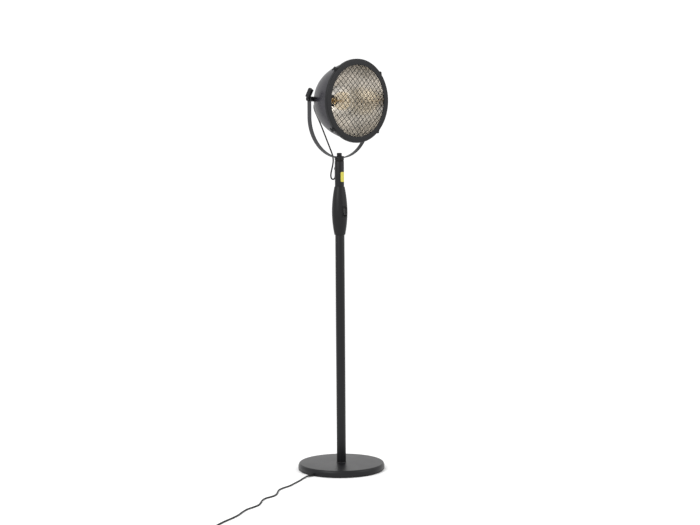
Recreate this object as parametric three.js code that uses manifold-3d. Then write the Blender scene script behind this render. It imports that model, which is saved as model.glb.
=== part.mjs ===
// Floor lamp: a caged spotlight head in a flat-strip yoke, on a round pole and a weighted disc base.
// Millimetres, +Z up. The origin is the centre of the base's underside; the head faces -Y.

import * as THREE from 'three';
import { mergeVertices } from 'three/addons/utils/BufferGeometryUtils.js';
import Module from 'manifold-3d';

const wasm = await Module();
wasm.setup();

// ---- driving dimensions ------------------------------------------------------------------------

const GAP = 0.3;                 // clearance kept between neighbouring pieces
const BASE_R = 150;
const BASE_H = 24;
const BASE_TOP_R = 146;          // flat top face, inside the bevelled shoulder
const POLE_R = 16;
const POLE_WALL = 1.5;
const PIVOT_Z = 1275;            // height of the head's tilt axis
const HEAD_TILT = 4;             // degrees nose down at rest
const YOKE_R = 135;              // outer radius of the yoke's half circle
const STRIP_T = 3;
const STRIP_W = 18;
const SADDLE_TOP = 1086;
const GRIP_LOW = 815;
const GRIP_HIGH = 981;
const GRIP_MID = 894;
const GRIP_R = 27;
const GRIP_END_LOW = 18.6;       // radius at the spindle's lower end
const GRIP_END_HIGH = 17.8;
const DOME_R = 131;
const DOME_DEPTH = 160;
const DOME_FRONT = 88;           // rim's distance ahead of the tilt axis
const RING_R = 141;
const RING_BORE = 121;
const RING_FRONT = 99;
const RING_DEPTH = 11;
const WIRE_PITCH = 43.2;         // every third wire of the real 14.4 mm weave
const CORD_D = 5.2;
const COIL_MID_R = 29;
const COIL_W = 17;               // width and height of the wound bundle
const COIL_H = 11;
const BOLT_R = 4;                // swivel bolt, pivot stud and pivot bolt
const BOLT_BORE = BOLT_R + GAP;
const PIVOT_BORE = 4.4;

const YOKE_BOTTOM = 1079;
const STRIP_TOP = YOKE_BOTTOM + STRIP_T;
const ARM_X = YOKE_R - STRIP_T;  // inner face of each yoke arm
const DEG = Math.PI / 180;

// ---- materials ---------------------------------------------------------------------------------

const finish = (color, roughness, metalness) =>
  new THREE.MeshStandardMaterial({ color, roughness, metalness });
const BLACK_POWDER = finish(0x2b2b2e, 0.55, 0.3);
const YOKE_POWDER = finish(0x4a4a4d, 0.5, 0.3);
const BLACK_PLASTIC = finish(0x18181a, 0.35, 0);
const GLOSS_PLASTIC = finish(0x0c0c0d, 0.12, 0);
const CORD_RUBBER = finish(0x141415, 0.6, 0);
const GREY_IRON = finish(0x4c4c4c, 0.8, 0.6);
const BRIGHT_STEEL = finish(0xb9bcc0, 0.3, 0.9);
const FIBRE = finish(0x6b3a26, 0.8, 0);
const FOAM = finish(0x222222, 0.95, 0);
const YELLOW_VINYL = finish(0xd8cf2a, 0.5, 0);
const SATIN_ALUMINIUM = finish(0xd2cfc8, 0.25, 0.95);
const BRASS = finish(0xb08d4a, 0.3, 0.9);
const AMBER_GLASS = finish(0xe3b873, 0.05, 0);

// ---- shapes ------------------------------------------------------------------------------------

// Body of revolution about Z from [radius, z] points, listed anticlockwise with radius to the right.
function turned(profile, segments = 32) {
  const onAxis = profile[0][0] === 0;
  const points = (onAxis ? profile : [...profile, profile[0]]).map(([r, z]) => new THREE.Vector2(r, z));
  return new THREE.LatheGeometry(points, segments).rotateX(Math.PI / 2);
}

const rod = (r, low, high, segments = 24) => turned([[0, low], [r, low], [r, high], [0, high]], segments);

const tube = (bore, r, low, high, segments = 24) =>
  turned([[bore, low], [r, low], [r, high], [bore, high]], segments);

const block = (x, y, z, at) => new THREE.BoxGeometry(x, y, z).translate(...at);

const hexagon = (acrossCorners, low, high) => rod(acrossCorners / 2, low, high, 6);

// Flat outline in the XY plane, extruded along +Z.
function plate(points, thickness, low = 0) {
  const outline = new THREE.Shape(points.map(([x, y]) => new THREE.Vector2(x, y)));
  return new THREE.ExtrudeGeometry(outline, { depth: thickness, bevelEnabled: false }).translate(0, 0, low);
}

// A turned piece laid along X, with its +Z end pointing to +X or to -X.
const alongX = (geometry, sign = 1) => geometry.rotateY(sign * Math.PI / 2);

// Closed geometry to a manifold solid, with shared vertices merged and slivers dropped.
function solid(geometry) {
  const bare = geometry.clone();
  bare.deleteAttribute('normal');
  bare.deleteAttribute('uv');
  const merged = mergeVertices(bare, 1e-4);
  const index = [];
  for (let i = 0; i < merged.index.count; i += 3) {
    const [a, b, c] = [0, 1, 2].map((k) => merged.index.getX(i + k));
    if (a !== b && b !== c && c !== a) index.push(a, b, c);
  }
  const vertProperties = new Float32Array(merged.attributes.position.array);
  return new wasm.Manifold(new wasm.Mesh({ numProp: 3, vertProperties, triVerts: new Uint32Array(index) }));
}

function surface(body) {
  const mesh = body.getMesh();
  const geometry = new THREE.BufferGeometry();
  geometry.setAttribute('position', new THREE.BufferAttribute(mesh.vertProperties, 3));
  geometry.setIndex(new THREE.BufferAttribute(mesh.triVerts, 1));
  geometry.computeVertexNormals();
  return geometry;
}

const cut = (geometry, ...tools) =>
  surface(tools.reduce((body, tool) => body.subtract(solid(tool)), solid(geometry)));

const join = (...geometries) =>
  surface(geometries.slice(1).reduce((body, other) => body.add(solid(other)), solid(geometries[0])));

const common = (geometry, tool) => surface(solid(geometry).intersect(solid(tool)));

// ---- scene graph -------------------------------------------------------------------------------

const lamp = new THREE.Group();

function add(parent, name, material, geometry) {
  const mesh = new THREE.Mesh(geometry, material);
  mesh.name = name;
  parent.add(mesh);
  return mesh;
}

// ---- base: a spun steel cover over an iron weight, closed by a foam pad ------------------------

const COVER_T = 1.6;
const PAD_T = 3;
const NIPPLE_R = 6.5;
const CHANNEL_W = 8;             // cord channel under the weight, from the edge to the centre
const CORD_Z = CORD_D / 2 + 0.1;
const EXIT_TURN = 7.7 * DEG;     // the mains cord leaves this far round from -X towards -Y

function buildBase() {
  const outside = [[BASE_R - 1, PAD_T + GAP], [BASE_R, 6], [BASE_R, 15], [BASE_TOP_R + 1.5, 21.5],
    [BASE_TOP_R - 1.5, BASE_H], [NIPPLE_R + GAP, BASE_H]];
  const inside = [[NIPPLE_R + GAP, BASE_H - COVER_T], [BASE_TOP_R - 2.5, BASE_H - COVER_T],
    [BASE_R - COVER_T, 14], [BASE_R - COVER_T, 6.5], [BASE_R - 2 * COVER_T, PAD_T + GAP]];
  const cordSlot = block(12, 10.4, 8.6, [-BASE_R, 0, PAD_T + 3.2]).rotateZ(EXIT_TURN);
  add(lamp, 'base_cover', BLACK_POWDER, cut(turned([...outside, ...inside], 48), cordSlot));

  const weightTop = BASE_H - COVER_T - GAP;
  const weight = turned([[NIPPLE_R + GAP, 4], [142, 4], [142, weightTop], [NIPPLE_R + GAP, weightTop]], 36);
  const channel = block(150, CHANNEL_W, 8, [-75, 0, 6]).rotateZ(EXIT_TURN);
  add(lamp, 'base_weight', GREY_IRON, cut(weight, channel, rod(15, 0, 12)));

  const padSlot = block(24, 11, 8, [-BASE_R, 0, 3]).rotateZ(EXIT_TURN);
  add(lamp, 'base_pad', FOAM, cut(rod(BASE_R - 4, 0, PAD_T, 48), padSlot));

  add(lamp, 'base_nipple', BRIGHT_STEEL, tube(4.2, NIPPLE_R, PAD_T + 1.3, 78, 16));
  const washer = tube(NIPPLE_R + GAP, 13.5, 10.2, 11.7, 20);
  add(lamp, 'base_washer', BRIGHT_STEEL, washer);
  const nut = cut(hexagon(22, 4.6, 9.9), rod(NIPPLE_R + GAP, 0, 20, 16));
  add(lamp, 'base_nut', BRIGHT_STEEL, nut);

  // Tapered boot that leads the mains cord out of the edge, level with the floor.
  const boot = turned([[0, 0], [5, 0], [5, 3], [3.1, 3], [3.1, 6], [4.6, 6], [3.2, 30], [0, 30]], 12);
  const bootOnEdge = boot.rotateY(-Math.PI / 2).translate(-BASE_R + 7, 0, 5.1).rotateZ(EXIT_TURN);
  add(lamp, 'base_cord_boot', CORD_RUBBER, bootOnEdge);
}

// ---- pole: two steel tubes joined by a core tube inside the switch housing ----------------------

const CORE_R = POLE_R - POLE_WALL - GAP;
const CORE_WALL = 2;
const LOWER_END = GRIP_LOW + 31;
const UPPER_START = GRIP_HIGH - 29;
const UPPER_END = SADDLE_TOP - 20;
const ENTRY_Z = 1040;            // mouth of the upper cord's entry in the pole
const STICKER_LOW = 997;
const STICKER_HIGH = 1031;
const STICKER_W = 17;
const STICKER_TURN = 4 * DEG;

function buildPole() {
  const bore = POLE_R - POLE_WALL;
  add(lamp, 'pole_lower', BLACK_POWDER, tube(bore, POLE_R, BASE_H + GAP, LOWER_END, 24));
  const plug = tube(NIPPLE_R + GAP, bore - GAP, BASE_H + GAP, 64, 24);
  add(lamp, 'pole_foot_plug', BRIGHT_STEEL, plug);

  const core = tube(CORE_R - CORE_WALL, CORE_R, LOWER_END - 60, UPPER_START + 60, 24);
  const switchRoom = block(40, 30, 62, [0, -19, GRIP_MID]);
  add(lamp, 'pole_core_tube', BRIGHT_STEEL, cut(core, switchRoom));

  const entryHole = rod(3.4, 10, 30, 12).rotateX(-Math.PI / 2).translate(0, 0, ENTRY_Z + 9);
  const upper = cut(tube(bore, POLE_R, UPPER_START, UPPER_END, 24), entryHole);
  add(lamp, 'pole_upper', BLACK_POWDER, upper);

  const elbow = block(9, 9, 15, [0, POLE_R + GAP + 4.9, ENTRY_Z + 8.5]);
  const snout = rod(3.1, POLE_R - 5, POLE_R + 3, 12).rotateX(-Math.PI / 2).translate(0, 0, ENTRY_Z + 9);
  const collar = turned([[0, 0], [3.6, 0], [4.4, 3], [0, 3]], 12).translate(0, POLE_R + 5.2, ENTRY_Z);
  add(lamp, 'pole_cord_entry', CORD_RUBBER, join(elbow, snout, collar));

  const patch = tube(POLE_R + GAP, POLE_R + GAP + 0.4, STICKER_LOW, STICKER_HIGH, 24);
  const window = block(STICKER_W, 20, 60, [0, -14, (STICKER_LOW + STICKER_HIGH) / 2]);
  const sticker = common(patch, window.rotateZ(STICKER_TURN));
  add(lamp, 'blank_sticker', YELLOW_VINYL, sticker);
}

// ---- switch housing: two spindle-shaped shells around the core tube -----------------------------

const SWITCH_Z = GRIP_MID;
const SWITCH_W = 20;
const SWITCH_H = 34;
const ROCKER_Y = -(GRIP_R - 1.5);
const ROCKER_TILT = 10;          // half of the rocker's travel, in degrees
const GRIP_SWELL = 1.9;          // power of the spindle's taper
const GRIP_WALL = 2.6;
const GRIP_SCREWS = [GRIP_LOW + 46, GRIP_HIGH - 34];

// Outline of the spindle as [z, radius], from its lower end to its upper end.
function spindle(offset) {
  const steps = 10;
  const points = [];
  for (let i = 0; i <= steps; i += 1) {
    const s = i / steps;
    const z = GRIP_LOW + (GRIP_HIGH - GRIP_LOW) * s;
    const u = z < GRIP_MID
      ? (GRIP_MID - z) / (GRIP_MID - GRIP_LOW)
      : (z - GRIP_MID) / (GRIP_HIGH - GRIP_MID);
    const end = z < GRIP_MID ? GRIP_END_LOW : GRIP_END_HIGH;
    points.push([GRIP_R - (GRIP_R - end) * u ** GRIP_SWELL - offset, z]);
  }
  return points;
}

function buildSwitchHousing() {
  const bore = POLE_R + GAP;
  const cavity = spindle(GRIP_WALL).filter(([r]) => r > bore + 0.4).reverse();
  const last = cavity[cavity.length - 1];
  const shell = turned([[bore, GRIP_LOW], ...spindle(0), [bore, GRIP_HIGH],
    [bore, cavity[0][1]], ...cavity, [bore, last[1]]], 24);
  const window = block(SWITCH_W + 2 * GAP, 30, SWITCH_H + 2 * GAP, [0, -30, SWITCH_Z]);
  const screwBores = GRIP_SCREWS.map((z) =>
    rod(2.3, 0, 40, 10).rotateX(-Math.PI / 2).translate(0, 0, z));
  const frontHalf = block(80, 40, 200, [0, -20 - GAP / 2, GRIP_MID]);
  const rearHalf = block(80, 40, 200, [0, 20 + GAP / 2, GRIP_MID]);
  add(lamp, 'grip_front_shell', BLACK_PLASTIC, cut(common(shell, frontHalf), window));
  add(lamp, 'grip_rear_shell', BLACK_PLASTIC, cut(common(shell, rearHalf), ...screwBores));

  GRIP_SCREWS.forEach((z, i) => {
    const screw = turned([[0, 16.2], [1.6, 16.2], [1.6, 21.2], [2, 22.6], [0, 22.6]], 10);
    add(lamp, `grip_screw_${i + 1}`, BRIGHT_STEEL, screw.rotateX(-Math.PI / 2).translate(0, 0, z));
  });

  // Rectangular switch frame with a rocker on a cross axis, and its terminal body behind.
  const frameFront = -(GRIP_R + 1.2);
  const frame = block(SWITCH_W, 14, SWITCH_H, [0, frameFront + 7, SWITCH_Z]);
  const rockerRoom = block(SWITCH_W - 5, 12, SWITCH_H - 7, [0, frameFront + 5, SWITCH_Z]);
  const throat = block(SWITCH_W - 9, 30, SWITCH_H - 14, [0, frameFront + 7, SWITCH_Z]);
  add(lamp, 'switch_frame', GLOSS_PLASTIC, cut(frame, rockerRoom, throat));
  const terminals = [-4.5, 4.5].map((x) => block(0.8, 6, 5, [x, -5.5, SWITCH_Z]));
  const body = block(SWITCH_W - 3, 5, SWITCH_H - 8, [0, -10.4, SWITCH_Z]);
  add(lamp, 'switch_body', BLACK_PLASTIC, join(body, ...terminals));

  // Rocker: two flat wings that meet in a shallow V, pressed at its upper end at rest.
  const wing = 12.4;
  const width = SWITCH_W - 6;
  const side = plate([[-wing, -1.5], [0, -4], [wing, -1.5], [wing, 3.9], [0, 2.6], [-wing, 3.9]], width);
  const rocker = side.rotateY(Math.PI / 2).rotateX(Math.PI).translate(-width / 2, 0, 0)
    .rotateX(-ROCKER_TILT * DEG);
  add(lamp, 'rocker', GLOSS_PLASTIC, rocker.translate(0, ROCKER_Y, SWITCH_Z));
}

// ---- swivel: the pole's top cap, the saddle that carries the yoke, and the bolt -----------------

function buildSwivel() {
  const capTop = UPPER_END + 3.3;
  const cap = turned([[BOLT_BORE, UPPER_END - 10], [CORE_R, UPPER_END - 10], [CORE_R, UPPER_END + GAP],
    [POLE_R, UPPER_END + GAP], [POLE_R, capTop], [BOLT_BORE, capTop]], 24);
  add(lamp, 'pole_top_cap', BLACK_PLASTIC, cap);
  add(lamp, 'swivel_washer', FIBRE,
    tube(BOLT_BORE, POLE_R - 1.5, capTop + GAP, capTop + GAP + 1, 24));

  const low = capTop + 2 * GAP + 1;
  const post = turned([[BOLT_BORE, low], [POLE_R, low], [POLE_R, SADDLE_TOP - 1.5],
    [POLE_R - 1.5, SADDLE_TOP], [BOLT_BORE, SADDLE_TOP]], 24);
  const groove = block(60, STRIP_W + 2 * GAP, 20, [0, 0, YOKE_BOTTOM - GAP + 10]);
  add(lamp, 'yoke_saddle', BLACK_PLASTIC, cut(post, groove));

  const head = STRIP_TOP + 2 * GAP;
  const bolt = turned([[0, UPPER_END - 20], [BOLT_R, UPPER_END - 20], [BOLT_R, head], [8.7, head],
    [8.7, 1094.5], [7.2, 1097], [0, 1097]], 16);
  add(lamp, 'swivel_bolt', BLACK_POWDER, bolt);
  const nut = cut(hexagon(15, UPPER_END - 17.5, UPPER_END - 10 - GAP), rod(BOLT_BORE, 1000, 1100, 16));
  add(lamp, 'swivel_nut', BRIGHT_STEEL, nut);
}

// ---- yoke: one flat strip bent to a U ----------------------------------------------------------

function buildYoke() {
  const centre = YOKE_BOTTOM + YOKE_R;
  const armTop = PIVOT_Z + STRIP_W / 2;
  const bend = new THREE.Shape();
  bend.moveTo(-YOKE_R, armTop);
  bend.lineTo(-YOKE_R, centre);
  bend.absarc(0, centre, YOKE_R, Math.PI, 2 * Math.PI, false);
  bend.lineTo(YOKE_R, armTop);
  bend.lineTo(ARM_X, armTop);
  bend.lineTo(ARM_X, centre);
  bend.absarc(0, centre, ARM_X, 2 * Math.PI, Math.PI, true);
  bend.lineTo(-ARM_X, armTop);
  const strip = new THREE.ExtrudeGeometry(bend, { depth: STRIP_W, bevelEnabled: false, curveSegments: 24 })
    .rotateX(Math.PI / 2).translate(0, STRIP_W / 2, 0);
  const roundEnds = join(
    alongX(rod(STRIP_W / 2, -160, 160, 24)).translate(0, 0, PIVOT_Z),
    block(320, STRIP_W, 300, [0, 0, PIVOT_Z - 150]),
  );
  const pivotBores = alongX(rod(PIVOT_BORE, -160, 160, 16)).translate(0, 0, PIVOT_Z);
  add(lamp, 'yoke', YOKE_POWDER, cut(common(strip, roundEnds), pivotBores, rod(PIVOT_BORE, 1060, 1100, 16)));
}

// ---- head: built facing +Z about its own axis, then laid to face -Y and tilted ------------------

const head = new THREE.Group();
head.position.set(0, 0, PIVOT_Z);
head.rotation.x = Math.PI / 2 + HEAD_TILT * DEG;
lamp.add(head);

const SHELL_T = 1.6;
const LINER_T = 1;
const NECK_R = 5.2;
const DOME_STEPS = 8;
const DOME_SIDES = 36;
const APEX = DOME_FRONT - DOME_DEPTH;
const BOOT_REACH = 28;           // from the dome's apex to the cord boot's tip

// Half-ellipse from the rim to the bore at the apex, inset from the outer surface.
function domeLine(inset, bore) {
  const radius = DOME_R - inset;
  const depth = DOME_DEPTH - inset;
  const stop = Math.acos(bore / radius);
  return Array.from({ length: DOME_STEPS + 1 }, (_, i) => {
    const angle = stop * i / DOME_STEPS;
    return [radius * Math.cos(angle), DOME_FRONT - depth * Math.sin(angle)];
  });
}

const domeSkin = (outer, inner, bore, segments) =>
  turned([...domeLine(outer, bore).reverse(), ...domeLine(inner, bore)], segments);

const filledDome = (inset) => turned([[0, DOME_FRONT - DOME_DEPTH + inset],
  ...domeLine(inset, 1).reverse(), [0, DOME_FRONT]], DOME_SIDES);

function buildShade() {
  const pivotBore = alongX(rod(PIVOT_BORE, -140, 140, 12));
  add(head, 'shade_shell', BLACK_POWDER, cut(domeSkin(0, SHELL_T, NECK_R, DOME_SIDES), pivotBore));
  const linerOut = SHELL_T + 0.5;
  const liner = domeSkin(linerOut, linerOut + LINER_T, NECK_R, DOME_SIDES);
  add(head, 'reflector', SATIN_ALUMINIUM, cut(liner, pivotBore));
}

function buildLamp() {
  const holderBack = APEX + 6.2;
  add(head, 'rear_nipple', BRIGHT_STEEL, tube(3.2, NECK_R - GAP, APEX - 8.5, holderBack + 9.5, 16));
  const nut = cut(hexagon(18, APEX - 6.2, APEX - 1.2), rod(NECK_R, -200, 200, 16));
  add(head, 'rear_nut', BLACK_POWDER, nut);
  const holder = turned([[NECK_R, holderBack], [16, holderBack], [19.5, holderBack + 6],
    [19.5, holderBack + 38], [14.4, holderBack + 38], [14.4, holderBack + 14],
    [NECK_R, holderBack + 11]], 24);
  add(head, 'lampholder', BLACK_PLASTIC, holder);

  const capBack = holderBack + 15;
  const cap = turned([[0, capBack], [5, capBack], [8, capBack + 3.5], [13, capBack + 5],
    [13, capBack + 25], [0, capBack + 25]], 20);
  add(head, 'bulb_cap', BRASS, cap);

  // Globe: a neck that opens on the cap, and a round envelope.
  const neck = capBack + 25 + GAP;
  const globeR = 32;
  const globeZ = neck + 42;
  const wall = 0.8;
  const side = (inset) => Array.from({ length: 7 }, (_, i) => {
    const angle = (-56 + (146 * i) / 6) * DEG;
    const r = i === 6 ? 0 : (globeR - inset) * Math.cos(angle);
    return [r, globeZ + (globeR - inset) * Math.sin(angle)];
  });
  const outside = turned([[0, neck], [12.6, neck], [13.4, neck + 6], ...side(0)], 20);
  const inside = turned([[0, neck - 5], [11.2, neck - 5], [11.6, neck], [12.4, neck + 6], ...side(wall)], 20);
  add(head, 'bulb_glass', AMBER_GLASS, cut(outside, inside));

  const stem = turned([[0, neck], [5, neck], [3.4, neck + 16], [1.2, neck + 20], [1.2, neck + 24],
    [0, neck + 24]], 10);
  const bars = [0, 1, 2, 3].map((i) => block(1.2, 1.2, 30, [5, 0, neck + 35]).rotateZ(i * 90 * DEG));
  const rungs = [block(11.2, 1.2, 1.2, [0, 0, neck + 21]), block(1.2, 11.2, 1.2, [0, 0, neck + 21])];
  add(head, 'bulb_filament', BRASS, join(stem, ...rungs, ...bars));

  // Boot over the nipple's end, where the upper cord leaves the head.
  const boot = turned([[NECK_R, APEX - 6.5], [8, APEX - 6.5], [7.2, APEX - 13],
    [3.6, APEX - BOOT_REACH], [0, APEX - BOOT_REACH], [0, APEX - 9], [NECK_R, APEX - 9]].reverse(), 16);
  add(head, 'rear_cord_boot', CORD_RUBBER, boot);
}

function buildPivots() {
  const outerFace = ARM_X - 1.6;
  [['left', -1], ['right', 1]].forEach(([side, sign]) => {
    const sleeve = cut(alongX(tube(PIVOT_BORE, 8.5, 90, outerFace, 20), sign), filledDome(-GAP));
    add(head, `pivot_boss_${side}`, BLACK_POWDER, sleeve);
    add(head, `pivot_washer_${side}`, FIBRE,
      alongX(tube(PIVOT_BORE, 9, outerFace + GAP, ARM_X - GAP, 20), sign));
  });
  const stud = turned([[0, 95], [7, 95], [7, 99.5], [BOLT_R, 99.5], [BOLT_R, YOKE_R + 6.5],
    [0, YOKE_R + 6.5]], 16);
  add(head, 'pivot_stud_left', BRIGHT_STEEL, alongX(stud, -1));
  const bolt = turned([[0, 96], [BOLT_R, 96], [BOLT_R, YOKE_R + GAP], [8, YOKE_R + GAP],
    [7.6, YOKE_R + 3.5], [5, YOKE_R + 5.6], [0, YOKE_R + 6]], 16);
  add(head, 'pivot_bolt_right', BLACK_POWDER, alongX(bolt, 1));
}

// Clamp lever on the left stud: a hub and a thumb bar that points up and forward.
function buildClampLever() {
  const low = YOKE_R + GAP;
  const hub = tube(PIVOT_BORE, 8, low, low + 7, 24);
  const bar = new THREE.Shape([[-7.5, 2], [-8, 36], [-6, 38], [6, 38], [8, 36], [7.5, 2]]
    .map(([x, y]) => new THREE.Vector2(x, y)));
  const thumb = new THREE.ExtrudeGeometry(bar, { depth: 12, bevelEnabled: false })
    .translate(0, 0, low + 2);
  const lever = cut(join(hub, thumb), rod(PIVOT_BORE, 0, 200, 16));
  const placed = lever.rotateZ(-90 * DEG).rotateY(-Math.PI / 2).rotateX(35 * DEG);
  add(lamp, 'clamp_lever', BLACK_PLASTIC, placed.translate(0, 0, PIVOT_Z));
}

// ---- front ring, grille and clips --------------------------------------------------------------

const GRILLE_R = 127;
const GRILLE_Z = RING_FRONT - 4.6;
const WIRE_T = 1.8;

function buildFrontRing() {
  const rear = RING_FRONT - RING_DEPTH;
  const skirt = RING_R - 2.5;
  const ring = turned([[RING_BORE, RING_FRONT - 2.6], [skirt, RING_FRONT - 2.6], [skirt, rear],
    [RING_R, rear], [RING_R, RING_FRONT - 2], [RING_R - 2, RING_FRONT], [RING_BORE, RING_FRONT]], 48);
  add(head, 'front_ring', BLACK_POWDER, ring);

  // Diamond lattice inside a hoop, as one body.
  const hoop = tube(GRILLE_R - 3, GRILLE_R, GRILLE_Z - 1.3, GRILLE_Z + 1.3, 32);
  const reach = Math.floor(GRILLE_R / WIRE_PITCH);
  const wires = [];
  for (let i = -reach; i <= reach; i += 1) {
    const length = 2 * (Math.sqrt(GRILLE_R ** 2 - (i * WIRE_PITCH) ** 2) - 1.5);
    [45, -45].forEach((angle) => wires.push(
      block(length, WIRE_T, WIRE_T, [0, i * WIRE_PITCH, GRILLE_Z]).rotateZ(angle * DEG)));
  }
  add(head, 'wire_grille', BLACK_POWDER, join(hoop, ...wires));

  // Four bent spring clips over the ring's edge, each held by a screw.
  const fold = [[RING_R + 0.3, rear + 1], [RING_R + 0.3, RING_FRONT - 1], [RING_R + 2, RING_FRONT - 1],
    [RING_R + 2, rear + 1.2], [RING_R + 6.5, rear - 2.2], [RING_R + 6, rear - 6.5],
    [RING_R - 1, rear - 12], [RING_R - 2.2, rear - 10.8], [RING_R + 4.4, rear - 5.6],
    [RING_R + 4.7, rear - 3]];
  const screwAt = RING_FRONT - 5;
  [45, 135, 225, 315].forEach((angle, i) => {
    const clip = plate(fold, 13, -6.5).rotateX(Math.PI / 2).rotateZ(angle * DEG);
    const screwBore = alongX(rod(1.9, RING_R - 20, RING_R + 20, 10))
      .translate(0, 0, screwAt).rotateZ(angle * DEG);
    add(head, `ring_clip_${i + 1}`, BLACK_POWDER, cut(clip, screwBore));
    const screw = turned([[0, RING_R + 0.4], [1.5, RING_R + 0.4], [1.5, RING_R + 2.3],
      [4.3, RING_R + 2.3], [4.1, RING_R + 4.2], [3.2, RING_R + 5], [0, RING_R + 5]], 10);
    const placed = alongX(screw).translate(0, 0, screwAt).rotateZ(angle * DEG);
    add(head, `clip_screw_${i + 1}`, BLACK_POWDER, placed);
  });
}

// ---- cords -------------------------------------------------------------------------------------

// Round cord of the given points: an eight-sided section carried along one smooth curve.
function cordTube(points, steps) {
  const path = new THREE.CatmullRomCurve3(points.map((p) => new THREE.Vector3(...p)));
  const section = new THREE.Shape();
  const sides = 8;
  const r = CORD_D / 2;
  for (let i = 0; i < sides; i += 1) {
    const a = (2 * Math.PI * i) / sides;
    if (i === 0) section.moveTo(r * Math.cos(a), r * Math.sin(a));
    else section.lineTo(r * Math.cos(a), r * Math.sin(a));
  }
  return new THREE.ExtrudeGeometry(section, { steps, bevelEnabled: false, extrudePath: path });
}

// The head's boot points straight back along the tilted axis; the cord then hangs to the pole.
const bootEnd = new THREE.Vector3(0, 0, APEX - BOOT_REACH - GAP).applyEuler(head.rotation).add(head.position);
const UPPER_SPLIT = [0, 46, 1111];
const HEAD_CORD = [[0, bootEnd.y, bootEnd.z], [0, 105.5, 1282.5], [0, 111, 1282.8], [0, 121.4, 1280.1],
  [0, 128.9, 1272.6], [0, 131.6, 1262.4], [0, 128.7, 1252.4], [0, 121.5, 1240], [0, 110, 1221.5],
  [0, 99, 1203.8], [0, 82.5, 1175.5], [0, 66.2, 1146.6], [0, 55.6, 1128]];
const POLE_CORD = [[0, 45.6, 1110.3], [0, 39.5, 1099.5], [0, 34.2, 1088], [0, 31.8, 1076], [0, 32.6, 1064],
  [0, 36, 1051.5], [0, 40.2, 1040], [0, 43.8, 1029], [0, 45.2, 1018], [0, 43.6, 1012], [0, 39.2, 1007.6],
  [0, 33.2, 1006], [0, 27.2, 1007.6], [0, 22.8, 1012], [0, 21.2, 1018], [0, 21.2, 1028],
  [0, 21.2, ENTRY_Z - GAP]];

const MAINS_CORD = [
  [-171.9, -23.3, 5.1], [-180, -24.4, 4.6], [-190, -26.8, 3.4], [-202, -31.6, CORD_Z],
  [-224, -45, CORD_Z], [-266, -66, CORD_Z], [-304, -84, CORD_Z], [-336, -92, CORD_Z],
  [-363, -104, CORD_Z], [-386, -125, CORD_Z], [-410, -147, CORD_Z], [-436, -158, CORD_Z],
  [-462, -161, CORD_Z], [-486, -174, CORD_Z], [-510, -196, CORD_Z], [-534, -215, CORD_Z],
  [-560, -224, CORD_Z], [-588, -231, CORD_Z], [-618, -247, CORD_Z], [-654, -270, CORD_Z],
  [-690, -286, CORD_Z], [-722, -298, CORD_Z], [-755, -313, CORD_Z], [-776, -324.7, CORD_Z],
  [-796.5, -336.1, CORD_Z], [-816.9, -347.5, CORD_Z],
];
const COIL_AT = [-819.3, -387.9];
const PLUG_AT = [-807, -428.8];
const PLUG_TURN = 340;
const PLUG_H = 13.7;

function buildCords() {
  add(lamp, 'upper_cord_head', CORD_RUBBER, cordTube([...HEAD_CORD, UPPER_SPLIT], 22));
  add(lamp, 'upper_cord_pole', CORD_RUBBER, cordTube(POLE_CORD, 24));
  add(lamp, 'mains_cord', CORD_RUBBER, cordTube(MAINS_CORD, 60));
  const coil = tube(COIL_MID_R - COIL_W / 2, COIL_MID_R + COIL_W / 2, 0.1, COIL_H, 24);
  add(lamp, 'cord_coil', CORD_RUBBER, coil.translate(...COIL_AT, 0));

  // Flat two-pin plug lying on its side, in line with the cord.
  const plug = new THREE.Group();
  plug.position.set(...PLUG_AT, 0);
  plug.rotation.z = PLUG_TURN * DEG;
  lamp.add(plug);
  const outline = [[18, -6], [30, -17.6], [55, -17.6], [55, 17.6], [30, 17.6], [18, 6]];
  const boot = alongX(rod(5, 0, 20, 10)).translate(0, 0, PLUG_H / 2);
  const pinBores = [-9.5, 9.5].map((y) => alongX(rod(2.3, 45, 60, 10)).translate(0, y, PLUG_H / 2));
  add(plug, 'plug_body', BLACK_PLASTIC, cut(join(plate(outline, PLUG_H), boot), ...pinBores));
  [-9.5, 9.5].forEach((y, i) => {
    const pin = alongX(rod(2, 45.5, 74, 10)).translate(0, y, PLUG_H / 2);
    add(plug, `plug_pin_${i + 1}`, BRIGHT_STEEL, pin);
  });
}

buildBase();
buildPole();
buildSwitchHousing();
buildSwivel();
buildYoke();
buildShade();
buildLamp();
buildPivots();
buildClampLever();
buildFrontRing();
buildCords();

export default lamp;
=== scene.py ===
"""Floor lamp: a caged spotlight head in a flat-strip yoke, on a round pole and a weighted disc base."""

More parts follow.
